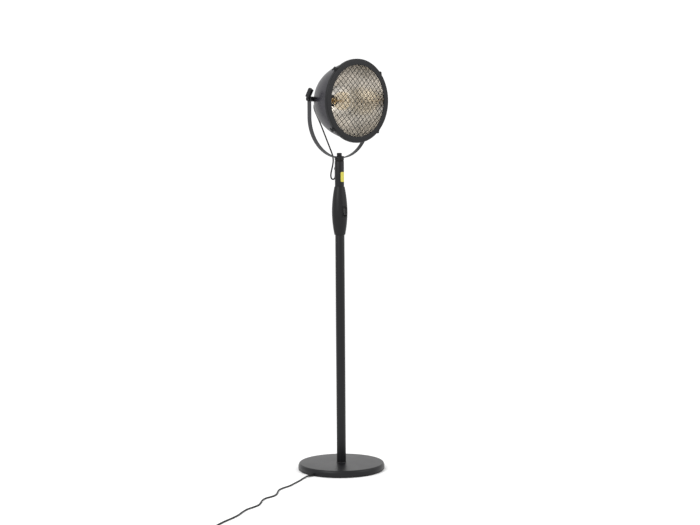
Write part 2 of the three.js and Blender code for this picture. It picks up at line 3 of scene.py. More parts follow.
import bmesh
import bpy
import numpy as np
from mathutils import Matrix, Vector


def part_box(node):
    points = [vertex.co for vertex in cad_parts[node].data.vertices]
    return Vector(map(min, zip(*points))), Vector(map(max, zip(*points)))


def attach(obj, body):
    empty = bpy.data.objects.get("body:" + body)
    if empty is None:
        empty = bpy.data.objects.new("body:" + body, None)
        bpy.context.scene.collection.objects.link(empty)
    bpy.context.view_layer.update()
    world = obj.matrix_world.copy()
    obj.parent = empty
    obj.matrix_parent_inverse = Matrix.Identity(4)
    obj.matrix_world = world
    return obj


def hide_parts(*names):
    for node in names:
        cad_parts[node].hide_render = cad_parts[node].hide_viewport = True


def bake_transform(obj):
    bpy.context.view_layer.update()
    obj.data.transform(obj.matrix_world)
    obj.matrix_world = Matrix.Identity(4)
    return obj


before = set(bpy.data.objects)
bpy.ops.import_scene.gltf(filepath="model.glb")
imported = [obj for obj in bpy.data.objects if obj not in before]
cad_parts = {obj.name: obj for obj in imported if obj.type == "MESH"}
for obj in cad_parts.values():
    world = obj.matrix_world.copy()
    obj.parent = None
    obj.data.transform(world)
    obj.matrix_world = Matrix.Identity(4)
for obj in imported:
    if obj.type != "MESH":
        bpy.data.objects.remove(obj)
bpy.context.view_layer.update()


# ---- camera and studio -------------------------------------------------------------------------
# The lamp is seen from the front left at chest height, with a long lens. It stands on a pale
# seamless floor under a large soft light from the left and a weaker one from the right.

CAMERA_AT = (-2.7975, -3.1288, 0.9183)
HEADING, PITCH, ROLL = np.radians((42.27, 2.7175, -0.3772))
LENS_MM = 62.52
FLOOR_REACH = 40.0


def standing(at, right, up, back):
    """The 4 by 4 matrix whose columns are three axes and a place."""
    matrix = np.eye(4)
    matrix[:3] = np.column_stack((right, up, back, at))
    return Matrix(matrix.tolist())


def line_of_sight(heading, pitch, roll):
    """Right, up and back: the view runs along (sin h cos p, cos h cos p, -sin p), and right and up
    turn about it by the roll."""
    ahead = np.array((np.sin(heading) * np.cos(pitch), np.cos(heading) * np.cos(pitch), -np.sin(pitch)))
    level = np.array((np.cos(heading), -np.sin(heading), 0.0))
    over = np.cross(level, ahead)
    return np.cos(roll) * level + np.sin(roll) * over, np.cos(roll) * over - np.sin(roll) * level, -ahead


def linear(hex_colour):
    """sRGB hex to linear: a channel under 0.04045 is divided by 12.92, any other is
    ((c + 0.055) / 1.055) to the power 2.4."""
    c = np.array([int(hex_colour[i:i + 2], 16) for i in (1, 3, 5)]) / 255
    rgb = np.where(c < 0.04045, c / 12.92, ((c + 0.055) / 1.055) ** 2.4)
    return (*rgb.tolist(), 1.0)


def node(tree, kind, settings, links=()):
    """One node, new or already there, with its settings, by input or property name, and its links
    as (input, source) pairs. A source is a socket, or a node whose first output in use is meant."""
    made = tree.nodes.new(kind) if isinstance(kind, str) else kind
    for key, value in settings.items():
        if isinstance(key, int) or key in made.inputs:
            made.inputs[key].default_value = value
        else:
            setattr(made, key, value)
    for key, source in links:
        outputs = getattr(source, "outputs", [source])
        tree.links.new(next(socket for socket in outputs if socket.enabled), made.inputs[key])
    return made


camera = bpy.data.objects.new("camera", bpy.data.cameras.new("camera"))
camera.data.lens = LENS_MM
camera.matrix_world = standing(CAMERA_AT, *line_of_sight(HEADING, PITCH, ROLL))
bpy.context.scene.collection.objects.link(camera)
bpy.context.scene.camera = camera
bpy.context.scene.view_settings.view_transform = "Standard"

world = bpy.data.worlds.new("studio")
world.use_nodes = True
node(world.node_tree, world.node_tree.nodes["Background"], {"Color": linear("#fdfdfd"), "Strength": 1.1})
bpy.context.scene.world = world


def soft_light(name, at, towards, size, watts):
    """A square area light that faces a point."""
    lamp = bpy.data.objects.new(name, bpy.data.lights.new(name, "AREA"))
    lamp.data.size = size
    lamp.data.energy = watts
    back = np.array(at, float) - towards
    back /= np.linalg.norm(back)
    side = np.cross((0.0, 0.0, 1.0), back)
    side /= np.linalg.norm(side)
    lamp.matrix_world = standing(at, side, np.cross(back, side), back)
    bpy.context.scene.collection.objects.link(lamp)


soft_light("key", (-3.0, -0.6, 2.6), (0, 0, 1.2), 1.6, 45)
soft_light("fill", (1.5, -3.2, 2.2), (0, 0, 1.2), 1.8, 20)

floor_mesh = bpy.data.meshes.new("studio_floor")
floor_mesh.from_pydata([(x, y, 0) for x, y in ((-1, -1), (1, -1), (1, 1), (-1, 1))], [], [(0, 1, 2, 3)])
floor_mesh.transform(Matrix.Scale(FLOOR_REACH, 4))
floor = bpy.data.objects.new("studio_floor", floor_mesh)
bpy.context.scene.collection.objects.link(floor)
paper = bpy.data.materials.new("seamless_paper")
paper.use_nodes = True
node(paper.node_tree, paper.node_tree.nodes["Principled BSDF"],
     {"Base Color": linear("#fbfbfb"), "Roughness": 0.9, "Specular IOR Level": 0.1})
floor_mesh.materials.append(paper)


# ---- cords -------------------------------------------------------------------------------------
# Round 5.2 mm PVC flex. The upper cord drops in a limp arc from the head's boot and makes a
# hairpin into the pole; the mains cord wanders over the floor to a tied coil and a flat plug.

MM = 0.001
CORD_R = 2.6
FLOOR_Z = CORD_R + 0.1
EXIT_Z = 5.1


def surface(name, *grids, closed_rows=False, ends=True, crease=35):
    """Quads over (rows, columns, 3) grids in millimetres: each row is a closed loop, each loop is
    joined to the next, and the last to the first or each end to a flat cap."""
    faces, start = [], 0
    for grid in grids:
        rows, columns = grid.shape[:2]
        index = start + np.arange(rows * columns).reshape(rows, columns)
        near = index if closed_rows else index[:-1]
        far = np.roll(index, -1, axis=0) if closed_rows else index[1:]
        quads = np.stack((near, np.roll(near, -1, axis=1), np.roll(far, -1, axis=1), far), axis=-1)
        faces += quads.reshape(-1, 4).tolist()
        if ends and not closed_rows:
            faces += [index[0][::-1].tolist(), index[-1].tolist()]
        start += rows * columns
    mesh = bpy.data.meshes.new(name)
    mesh.from_pydata((np.concatenate([grid.reshape(-1, 3) for grid in grids]) * MM).tolist(), [], faces)
    return finished(name, mesh, crease)


def finished(name, mesh, crease):
    """Merges doubled points, points the faces outwards, and shades smooth under the crease angle."""
    work = bmesh.new()
    work.from_mesh(mesh)
    bmesh.ops.remove_doubles(work, verts=work.verts, dist=2e-6)
    bmesh.ops.dissolve_degenerate(work, edges=work.edges, dist=1e-7)
    bmesh.ops.recalc_face_normals(work, faces=work.faces)
    work.to_mesh(mesh)
    work.free()
    mesh.shade_smooth()
    mesh.set_sharp_from_angle(angle=np.radians(crease))
    piece = bpy.data.objects.new(name, mesh)
    bpy.context.scene.collection.objects.link(piece)
    return piece


def fitted(piece, body, slot, material, *nodes):
    """Gives a piece its finish and its body, and lets it stand for its CAD nodes."""
    piece.data.materials.append(material)
    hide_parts(*nodes)
    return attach(piece, body) if body else piece


def evenly(line, step=1.0, count=0):
    """The same line with points at equal distances along it: so many, or about a step apart."""
    along = np.concatenate(([0], np.cumsum(np.linalg.norm(np.diff(line, axis=0), axis=1))))
    places = np.linspace(0, along[-1], count or int(np.ceil(along[-1] / step)) + 1)
    return np.stack([np.interp(places, along, line[:, k]) for k in range(3)], axis=1)


def route(points, ease=7):
    """Smooth line through listed points: a Catmull-Rom curve, spaced evenly at 1 mm, then
    averaged over a few millimetres to even out its bends, with both ends held."""
    p = np.array(points, float)
    p = np.vstack((2 * p[0] - p[1], p, 2 * p[-1] - p[-2]))
    a, b, c, d = (p[i:len(p) - 3 + i, None] for i in range(4))
    t = np.linspace(0, 1, 40, endpoint=False)[None, :, None]
    dense = 0.5 * (2 * b + (c - a) * t + (2 * a - 5 * b + 4 * c - d) * t**2 + (3 * b - a - 3 * c + d) * t**3)
    dense = evenly(np.vstack((dense.reshape(-1, 3), p[-2])))
    ends = np.vstack((2 * dense[0] - dense[ease:0:-1], dense, 2 * dense[-1] - dense[-2:-ease - 2:-1]))
    kernel = np.ones(2 * ease + 1) / (2 * ease + 1)
    return np.stack([np.convolve(ends[:, k], kernel, "valid") for k in range(3)], axis=1)


def swept(line, section, across):
    """Carries a section (columns of sideways, upwards) along a line: sideways is the given
    direction made square to the line, and upwards is square to both."""
    ahead = np.gradient(line, axis=0)
    ahead /= np.linalg.norm(ahead, axis=1)[:, None]
    across = np.broadcast_to(np.array(across, float), line.shape)
    side = across - (across * ahead).sum(1)[:, None] * ahead
    side /= np.linalg.norm(side, axis=1)[:, None]
    over = np.cross(ahead, side)
    return line[:, None] + section[..., 0, None] * side[:, None] + section[..., 1, None] * over[:, None]


def angles(count):
    """So many equal angles, once round."""
    return np.linspace(0, 2 * np.pi, count, endpoint=False)


def circle(radius, count):
    """Points (r cos a, r sin a) at equal angles."""
    return radius * np.stack((np.cos(angles(count)), np.sin(angles(count))), axis=1)


def new_finish(name):
    """A new material with its node tree, its shader, and the coordinates of the object itself."""
    made = bpy.data.materials.new(name)
    made.use_nodes = True
    tree = made.node_tree
    return made, tree, tree.nodes["Principled BSDF"], node(tree, "ShaderNodeTexCoord", {}).outputs["Object"]


# Flexible PVC: soft black plastic with a faint matt bloom. The eye sees a dull broad highlight and
# slight greying where it has been handled.
def pvc():
    made, tree, shader, place = new_finish("flexible_pvc_black")
    bloom = node(tree, "ShaderNodeTexNoise", {"Scale": 1 / 0.012, "Detail": 3.0}, [("Vector", place)])
    shade = node(tree, "ShaderNodeMix", {"data_type": "RGBA", 6: linear("#0a0a0b"), 7: linear("#131314")},
                 [(0, bloom)])
    gloss = node(tree, "ShaderNodeMapRange", {"To Min": 0.42, "To Max": 0.6}, [("Value", bloom)])
    grain = node(tree, "ShaderNodeTexNoise", {"Scale": 1 / 0.0015, "Detail": 2.0}, [("Vector", place)])
    bump = node(tree, "ShaderNodeBump", {"Strength": 0.15, "Distance": 0.0001}, [("Height", grain)])
    node(tree, shader, {"IOR": 1.53, "Specular IOR Level": 0.3},
         [("Base Color", shade), ("Roughness", gloss), ("Normal", bump)])
    return made


PVC = pvc()

HEAD_EXIT = (0, 100.3, 1282.0)
SPLIT = (0, 46, 1111)
HEAD_ROUTE = [HEAD_EXIT, (0, 105.5, 1282.5), (0, 111, 1282.8), (0, 121.4, 1280.1), (0, 128.9, 1272.6),
              (0, 131.6, 1262.4), (0, 128.7, 1252.4), (0, 121.5, 1240), (0, 110, 1221.5), (0, 99, 1203.8),
              (0, 82.5, 1175.5), (0, 66.2, 1146.6), (0, 55.6, 1128), SPLIT]
POLE_ROUTE = [SPLIT, (0, 39.5, 1099.5), (0, 34.2, 1088), (0, 31.8, 1076), (0, 32.6, 1064),
              (0, 36, 1051.5), (0, 40.2, 1040), (0, 43.8, 1029), (0, 45.2, 1018), (0, 43.6, 1012),
              (0, 39.2, 1007.6), (0, 33.2, 1006), (0, 27.2, 1007.6), (0, 22.8, 1012), (0, 21.2, 1018),
              (0, 21.2, 1028), (0, 21.2, 1039.7)]

for name, cad, line, bodies, start, end in (
        ("upper_cord_to_head", "upper_cord_head", route(HEAD_ROUTE), ("head", "yoke"),
         (0, 0.100, 1.282), (0, 0.046, 1.111)),
        ("upper_cord_to_pole", "upper_cord_pole", route(POLE_ROUTE), ("yoke", "stand"),
         (0, 0.046, 1.111), (0, 0.0212, 1.040))):
    cord = surface(name, swept(line, circle(CORD_R, 16), (1, 0, 0)))
    fitted(cord, None, "cord_rubber", PVC, cad)
    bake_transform(cord)

BASE_EXIT = (-171.9, -23.3, EXIT_Z)
MAINS_ROUTE = [BASE_EXIT, (-180, -24.4, 4.6), (-190, -26.8, 3.4)] + [(x, y, FLOOR_Z) for x, y in (
    (-202, -31.6), (-224, -45), (-266, -66), (-304, -84), (-336, -92), (-363, -104), (-386, -125),
    (-410, -147), (-436, -158), (-462, -161), (-486, -174), (-510, -196), (-534, -215), (-560, -224),
    (-588, -231), (-618, -247), (-654, -270), (-690, -286), (-722, -298), (-755, -313), (-776, -324.7),
    (-796.5, -336.1), (-816.9, -347.5))]
COIL_AT = np.array((-819.3, -387.9))
TURN_RADII = (34.2, 28.9, 23.6, 23.6, 28.9, 34.2)    # laid inwards, then back outwards on top
LAYER_ONE_ENDS = 2                                   # after this turn the cord climbs on to the others
ENTRY_ANGLE = 119.0
LEAVE_ANGLE = 250.0
PLUG_AT = np.array((-807.0, -428.8))
PLUG_TURN = 340.0
PLUG_L, PLUG_H = 54.6, 13.7


def smooth_step(share):
    """3 s^2 - 2 s^3, where s is the share held between 0 and 1."""
    s = np.clip(share, 0, 1)
    return s * s * (3 - 2 * s)


def coil_turns():
    """A circle whose radius steps from one turn to the next over the last sixth of each turn, by a
    smooth step, and whose height rises one cord diameter after the last turn of the first layer."""
    turned_by = np.arange(0, (len(TURN_RADII) - 1) * 360 + LEAVE_ANGLE - ENTRY_ANGLE, 3.0)
    turn, within = np.divmod(turned_by, 360)
    t = smooth_step((within - 300) / 60)
    radii = np.array((*TURN_RADII, TURN_RADII[-1]))
    turn = turn.astype(int)
    radius = radii[turn] * (1 - t) + radii[turn + 1] * t
    layer = np.where(turn > LAYER_ONE_ENDS, 1.0, np.where(turn == LAYER_ONE_ENDS, t, 0.0))
    a = np.radians(ENTRY_ANGLE + turned_by)
    height = FLOOR_Z + layer * 2 * CORD_R
    return np.stack((COIL_AT[0] + radius * np.cos(a), COIL_AT[1] + radius * np.sin(a), height), axis=1)


laid = route(MAINS_ROUTE)
wound = coil_turns()
to_plug = np.array((*PLUG_AT, PLUG_H / 2))
hump = wound[-1] * 0.35 + to_plug * 0.65
hump[2] = wound[-1, 2]
mains_line = evenly(np.vstack((laid, wound, hump, to_plug)), 1.5)
mains = surface("mains_cord_flex", swept(mains_line, circle(CORD_R, 12), (0, 0, 1)))
fitted(mains, "stand", "cord_rubber", PVC, "mains_cord", "cord_coil")


def revolved(profile, segments):
    """A grid of (radius, height) points turned about Z: x = r cos a, y = r sin a."""
    r, z = np.array(profile, float).T[..., None]
    a = angles(segments)
    return np.stack((r * np.cos(a), r * np.sin(a), z + 0 * a), axis=-1)


def moved(points, at):
    """Points in millimetres, carried by a 4 by 4 matrix whose offset is in millimetres too."""
    if at is None:
        return points
    m = np.array(at)
    return points @ m[:3, :3].T + m[:3, 3]


def turned(name, profile, segments=96, at=None, closed=True):
    """A piece turned about Z from its profile, then put in its place by the matrix. A closed
    profile makes a ring or a skin, and an open one starts and ends on the axis."""
    return surface(name, moved(revolved(profile, segments), at), closed_rows=closed, ends=False)


def rounded(corners, radii, steps=5):
    """A closed outline with each corner replaced by a quadratic curve that starts and ends the
    given distance from it along its two sides. Distance 0 keeps the corner sharp."""
    p = np.array(corners, float)
    back, ahead = np.roll(p, 1, axis=0) - p, np.roll(p, -1, axis=0) - p
    t = np.linspace(0, 1, steps)[:, None]
    line = []
    for corner, b, a, radius in zip(p, back, ahead, np.broadcast_to(radii, len(p))):
        if radius == 0:
            line.append(corner[None])
            continue
        start = corner + b / np.linalg.norm(b) * min(radius, np.linalg.norm(b) / 2)
        end = corner + a / np.linalg.norm(a) * min(radius, np.linalg.norm(a) / 2)
        line.append((1 - t) ** 2 * start + 2 * t * (1 - t) * corner + t**2 * end)
    return np.vstack(line)


def turn_about(axis, degrees, offset=(0, 0, 0)):
    """A turn about one axis through the origin, followed by a shift in millimetres."""
    return Matrix.Translation(offset) @ Matrix.Rotation(np.radians(degrees), 4, axis)


# Ribbed PVC boots: a collar, a tapered sleeve with shallow flexing grooves, and a soft tip.
def boot_profile(root, tip, length, collar, ribs):
    """Radius falls evenly from root to tip and dips by 0.35 mm in a cosine groove for each rib."""
    s = np.linspace(0, 1, ribs * 8 + 1)
    r = root + (tip - root) * s - 0.175 * (1 - np.cos(2 * np.pi * ribs * s)) * (s < 0.98)
    sleeve = np.stack((r, 2.5 + (length - 2.5) * s), axis=1)
    return np.vstack(([(0, 0), (collar, 0), (collar + 0.3, 0.5), (collar + 0.3, 2.0), (collar, 2.5)],
                      sleeve, [(0, length)]))


EXIT_TURN = 7.7
BASE_R = 150.0
base_boot_line = boot_profile(root=4.6, tip=3.0, length=23.4, collar=4.8, ribs=6)
base_boot = turned("base_cord_boot_ribbed", base_boot_line, 32,
                   turn_about("Z", EXIT_TURN) @ turn_about("Y", -90, (0.6 - BASE_R, 0, EXIT_Z)), closed=False)
fitted(base_boot, "stand", "cord_rubber", PVC, "base_cord_boot")

# Flat two-pin plug: a moulded body that swells from the cord to a flat face, with two sleeved pins.
PLUG_FRAME = turn_about("Z", PLUG_TURN, (*PLUG_AT, PLUG_H / 2))
PIN_GAP, PIN_FOOT = 19.0, 52.0


def superellipse(a, power):
    """Cosine and sine of an angle, each raised to a power with its sign kept."""
    return [np.sign(wave) * np.abs(wave) ** power for wave in (np.cos(a), np.sin(a))]


def plug_body():
    """Superellipse sections along X, from exponent 2 at the cord to 3 at the flat face, whose half
    width and half height follow smooth steps from one end to the other."""
    s = np.linspace(0, 1, 60)[:, None]
    rise = smooth_step((s - 0.30) / 0.35)
    nose = np.sqrt(np.clip(1 - np.clip((s - 0.96) / 0.05, 0, 1) ** 2, 0, 1))
    across, upwards = superellipse(angles(64), 2 / (2 + rise))
    y = (4.2 + 13.2 * rise) * nose * across
    z = (3.8 + 2.9 * rise) * nose * upwards
    return moved(np.stack((PLUG_L * s + 0 * y, y, z), axis=-1), PLUG_FRAME)


# Moulded ABS: satin black with a fine spark-eroded grain. The grain is drawn at 1.2 mm, coarser
# than the real 0.1 mm, so that it shows.
def moulded(name, dark, pale, low, high, depth):
    made, tree, shader, place = new_finish(name)
    cloud = node(tree, "ShaderNodeTexNoise", {"Scale": 1 / 0.018, "Detail": 4.0}, [("Vector", place)])
    shade = node(tree, "ShaderNodeMix", {"data_type": "RGBA", 6: linear(dark), 7: linear(pale)}, [(0, cloud)])
    gloss = node(tree, "ShaderNodeMapRange", {"To Min": low, "To Max": high}, [("Value", cloud)])
    grain = node(tree, "ShaderNodeTexNoise", {"Scale": 1 / 0.0012, "Detail": 2.0}, [("Vector", place)])
    bump = node(tree, "ShaderNodeBump", {"Strength": 0.3, "Distance": depth}, [("Height", grain)])
    node(tree, shader, {"IOR": 1.54, "Specular IOR Level": 0.22},
         [("Base Color", shade), ("Roughness", gloss), ("Normal", bump)])
    return made


SATIN_ABS = moulded("moulded_abs_satin_black", "#0b0b0c", "#141416", 0.34, 0.5, 0.00012)


# Bright metals: zinc-plated screws and nuts, and brass, share one recipe of a clean metal with
# faint streaks left by the tool.
def metal(name, dark, pale, low, high, streak_mm):
    made, tree, shader, place = new_finish(name)
    streak = node(tree, "ShaderNodeTexNoise", {"Scale": 1000 / streak_mm, "Detail": 5.0},
                  [("Vector", place)])
    shade = node(tree, "ShaderNodeMix", {"data_type": "RGBA", 6: linear(dark), 7: linear(pale)},
                 [(0, streak)])
    gloss = node(tree, "ShaderNodeMapRange", {"To Min": low, "To Max": high}, [("Value", streak)])
    bump = node(tree, "ShaderNodeBump", {"Strength": 0.2, "Distance": 0.00002}, [("Height", streak)])
    node(tree, shader, {"Metallic": 1.0}, [("Base Color", shade), ("Roughness", gloss), ("Normal", bump)])
    return made


ZINC = metal("zinc_plated_steel", "#a9acb0", "#cfd2d6", 0.22, 0.38, 3.0)

plug = fitted(surface("plug_moulding", plug_body()), "stand", "black_plastic", SATIN_ABS, "plug_body")
pins = []
for i, y in enumerate((-PIN_GAP / 2, PIN_GAP / 2)):
    pin_at = PLUG_FRAME @ turn_about("Y", 90, (0, y, 0)) @ Matrix.Translation((0, 0, PIN_FOOT))
    pin = turned(f"plug_pin_steel_{i + 1}", [(0, 0), (2, 0), (2, 20.4), (1.7, 21.4), (1.1, 22), (0, 22)], 24,
                 pin_at, closed=False)
    sleeve = turned(f"plug_pin_sleeve_{i + 1}", [(0, 1), (2.15, 1), (2.15, 11.6), (2.0, 12), (0, 12)], 24,
                    pin_at, closed=False)
    pins += [fitted(pin, "stand", "bright_steel", ZINC, f"plug_pin_{i + 1}"),
             fitted(sleeve, "stand", "black_plastic", SATIN_ABS)]

# The tie: a flat black band round the bundle of turns, on the side away from the plug.
TIE_ANGLE = np.radians(-50)
TIE_W, TIE_T, TIE_REACH, TIE_LOW, TIE_HIGH = 6.0, 0.9, 9.6, -0.05, 10.9


def tie_band():
    """A rounded rectangle round the bundle's section and the same one drawn in by the band's
    thickness, each carried across the band's width."""
    loop = rounded([(-TIE_REACH, TIE_LOW), (TIE_REACH, TIE_LOW), (TIE_REACH, TIE_HIGH),
                    (-TIE_REACH, TIE_HIGH)], 3.4, 8)
    out = np.array((np.cos(TIE_ANGLE), np.sin(TIE_ANGLE), 0))
    side = np.array((-np.sin(TIE_ANGLE), np.cos(TIE_ANGLE), 0))
    spread = np.linspace(-TIE_W / 2, TIE_W / 2, 7)[:, None, None] * side
    middle = np.array((*COIL_AT, 0.15)) + TURN_RADII[1] * out
    skins = []
    for scale in (1.0, 1 - TIE_T / TIE_REACH):
        line = loop.mean(0) + (loop - loop.mean(0)) * scale
        skins.append(middle + line[None, :, :1] * out + line[None, :, 1:] * (0, 0, 1) + spread)
    return np.concatenate((skins[0], skins[1][::-1]))


tie = fitted(surface("cord_tie", tie_band(), closed_rows=True), "stand", "black_plastic", SATIN_ABS)


# ---- base --------------------------------------------------------------------------------------
# A steel cover pressed and spun to a flat disc with a bevelled shoulder, over a cast-iron weight.
# It is closed below by a foam pad, and powder coated in the same black as the pole.

BASE_H, COVER_T, COVER_BORE, COVER_LOW = 24.0, 1.6, 6.8, 3.4


# Powder coat: polyester powder melted on to steel. It gives a satin charcoal with a fine orange
# peel, a broad soft highlight and a slight paling where it is rubbed. The peel is drawn at 3 mm.
def powder_coat(name, dark, pale, low, high, specular=0.26):
    made, tree, shader, place = new_finish(name)
    cloud = node(tree, "ShaderNodeTexNoise", {"Scale": 1 / 0.06, "Detail": 5.0}, [("Vector", place)])
    speck = node(tree, "ShaderNodeTexNoise", {"Scale": 1 / 0.002, "Detail": 2.0}, [("Vector", place)])
    both = node(tree, "ShaderNodeMix", {"data_type": "FLOAT", 0: 0.35}, [(2, cloud), (3, speck)])
    shade = node(tree, "ShaderNodeMix", {"data_type": "RGBA", 6: linear(dark), 7: linear(pale)}, [(0, both)])
    gloss = node(tree, "ShaderNodeMapRange", {"To Min": low, "To Max": high}, [("Value", both)])
    peel = node(tree, "ShaderNodeTexNoise", {"Scale": 1 / 0.003, "Detail": 3.0}, [("Vector", place)])
    bump = node(tree, "ShaderNodeBump", {"Strength": 0.25, "Distance": 0.00015}, [("Height", peel)])
    node(tree, shader, {"IOR": 1.5, "Specular IOR Level": specular},
         [("Base Color", shade), ("Roughness", gloss), ("Normal", bump)])
    return made


POWDER_BLACK = powder_coat("powder_coat_black", "#0c0c0e", "#161619", 0.3, 0.44)

cover_outline = rounded([(COVER_BORE, BASE_H - COVER_T), (143.9, BASE_H - COVER_T), (BASE_R - COVER_T, 14.5),
                         (BASE_R - COVER_T, COVER_LOW), (BASE_R, COVER_LOW), (BASE_R, 15.2), (147.4, 21.6),
                         (144.6, BASE_H), (COVER_BORE, BASE_H)], [0, 2, 3, 0.5, 0.5, 4, 3, 2, 0], 8)
cover = turned("base_cover_spun", cover_outline, 192)
fitted(cover, "stand", "powder_black", POWDER_BLACK, "base_cover")


# Closed-cell foam: a dull black pad with open pores at its cut edge.
def foam():
    made, tree, shader, place = new_finish("eva_foam_black")
    pores = node(tree, "ShaderNodeTexVoronoi", {"Scale": 1 / 0.0018}, [("Vector", place)])
    shade = node(tree, "ShaderNodeMix", {"data_type": "RGBA", 6: linear("#161616"), 7: linear("#2b2b2b")},
                 [(0, pores)])
    bump = node(tree, "ShaderNodeBump", {"Strength": 0.5, "Distance": 0.0003}, [("Height", pores)])
    node(tree, shader, {"Roughness": 0.95}, [("Base Color", shade), ("Normal", bump)])
    return made


pad_outline = rounded([(0, 0.02), (BASE_R - 4, 0.02), (BASE_R - 4, 3), (0, 3)], [0, 0.6, 0.6, 0], 5)
pad = turned("base_pad_foam", pad_outline, 128, closed=False)
fitted(pad, "stand", "foam", foam(), "base_pad")


# ---- pole --------------------------------------------------------------------------------------
# Two lengths of 32 mm round steel tube, sleeved end to end inside the switch housing. The lower
# one stands on the base; the upper one takes the cord at the back and ends in a black cap.

POLE_R, POLE_WALL = 16.0, 1.5


def heights(name):
    """A CAD node's lowest and highest z, in millimetres."""
    return [corner.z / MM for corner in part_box(name)]


def tube_profile(bore, radius, low, high, ease=0.5):
    """A tube's wall as a closed outline with slightly rounded rims."""
    return rounded([(bore, low), (radius, low), (radius, high), (bore, high)], ease, 4)


for name in ("pole_lower", "pole_upper"):
    tube = turned(f"{name}_tube", tube_profile(POLE_R - POLE_WALL, POLE_R, *heights(name)))
    fitted(tube, "stand", "powder_black", POWDER_BLACK, name)

# A thin weld bead where the tube meets the base.
bead_line = rounded([(POLE_R, BASE_H), (POLE_R + 2.4, BASE_H), (POLE_R, BASE_H + 2.2)], 0.7, 6)
bead = turned("pole_foot_bead", bead_line)
fitted(bead, "stand", "powder_black", POWDER_BLACK)

# The cord's entry: a moulded elbow with a soft collar, pushed into a hole at the back.
ENTRY_Y, ENTRY_Z, ELBOW_BEND = 21.2, 1040.0, 8.0


def cord_elbow():
    """Round sections along a quarter circle from the tube's wall down to the collar's mouth."""
    a = np.radians(np.linspace(90, 0, 20))
    arc = np.stack((0 * a, ENTRY_Y - ELBOW_BEND + ELBOW_BEND * np.cos(a),
                    ENTRY_Z + 1.5 + ELBOW_BEND * np.sin(a)), axis=1)
    line = np.vstack(([(0, 11.5, arc[0, 2])], arc, [(0, ENTRY_Y, ENTRY_Z + 0.6), (0, ENTRY_Y, ENTRY_Z)]))
    thick = np.interp(np.arange(len(line)), (0, 2, 14, 18, len(line) - 1), (3.1, 4.3, 4.6, 4.4, 3.8))
    return swept(evenly(line, count=len(line)), circle(1.0, 32)[None] * thick[:, None, None], (1, 0, 0))


fitted(surface("pole_cord_elbow", cord_elbow()), "stand", "cord_rubber", PVC, "pole_cord_entry")

# A plain yellow vinyl patch with rounded corners, stuck to the front of the upper tube.
STICKER_W, STICKER_LOW, STICKER_HIGH, STICKER_TURN = 17.0, 997.0, 1031.0, 4.0


# Printed vinyl film: smooth and half glossy, in a yellow that clouds a little over 8 mm.
def vinyl():
    made, tree, shader, place = new_finish("vinyl_film_yellow")
    cloud = node(tree, "ShaderNodeTexNoise", {"Scale": 1 / 0.008, "Detail": 3.0}, [("Vector", place)])
    shade = node(tree, "ShaderNodeMix", {"data_type": "RGBA", 6: linear("#b4ac36"), 7: linear("#cbc350")},
                 [(0, cloud)])
    gloss = node(tree, "ShaderNodeMapRange", {"To Min": 0.3, "To Max": 0.45}, [("Value", cloud)])
    node(tree, shader, {}, [("Base Color", shade), ("Roughness", gloss)])
    return made


def patch_skin():
    """A superellipse (exponent 8) wrapped on the tube: across is arc length over the radius. Rings
    grow from the middle to the edge, and the film is 0.3 mm thick."""
    across, upwards = superellipse(angles(96), 0.25)
    scale = np.array((0.0, 0.3, 0.6, 0.9, 1.0, 1.0, 0.9, 0.6, 0.3, 0.0))[:, None]
    radius = np.array([POLE_R + 0.35] * 5 + [POLE_R + 0.05] * 5)[:, None]
    angle = np.radians(-90 + STICKER_TURN) + scale * STICKER_W / 2 * across / POLE_R
    height = (STICKER_LOW + STICKER_HIGH) / 2 + scale * (STICKER_HIGH - STICKER_LOW) / 2 * upwards
    return np.stack((radius * np.cos(angle), radius * np.sin(angle), height), axis=-1)


patch = surface("blank_sticker_film", patch_skin(), ends=False)
fitted(patch, "stand", "yellow_vinyl", vinyl(), "blank_sticker")


# ---- switch housing ----------------------------------------------------------------------------
# Two moulded half shells screwed together round the joint in the pole, swelling to 54 mm at the
# rocker. The front one has a rectangular window for the glossy switch frame.

GRIP_LOW, GRIP_HIGH, GRIP_MID = 815.0, 981.0, 894.0
GRIP_R, GRIP_END_LOW, GRIP_END_HIGH, GRIP_SWELL = 27.0, 18.6, 17.8, 1.9
WINDOW_W, WINDOW_H = 20.6, 34.6
GRIP_WALL = 1.4
STEPS_UP, STEPS_ROUND = 24, 16


def spindle(z):
    """Radius at height z: it falls from the middle by the 1.9th power of the share of the way to
    the nearer end."""
    low = (GRIP_R - GRIP_END_LOW) * np.clip((GRIP_MID - z) / (GRIP_MID - GRIP_LOW), 0, 1) ** GRIP_SWELL
    high = (GRIP_R - GRIP_END_HIGH) * np.clip((z - GRIP_MID) / (GRIP_HIGH - GRIP_MID), 0, 1) ** GRIP_SWELL
    return GRIP_R - low - high


def eased_edges(piece, width, angle):
    """Rounds off the edges sharper than an angle, by a width in millimetres."""
    edge = piece.modifiers.new("edge", "BEVEL")
    edge.width = width * MM
    edge.segments = 2
    edge.limit_method = "ANGLE"
    edge.angle_limit = np.radians(angle)


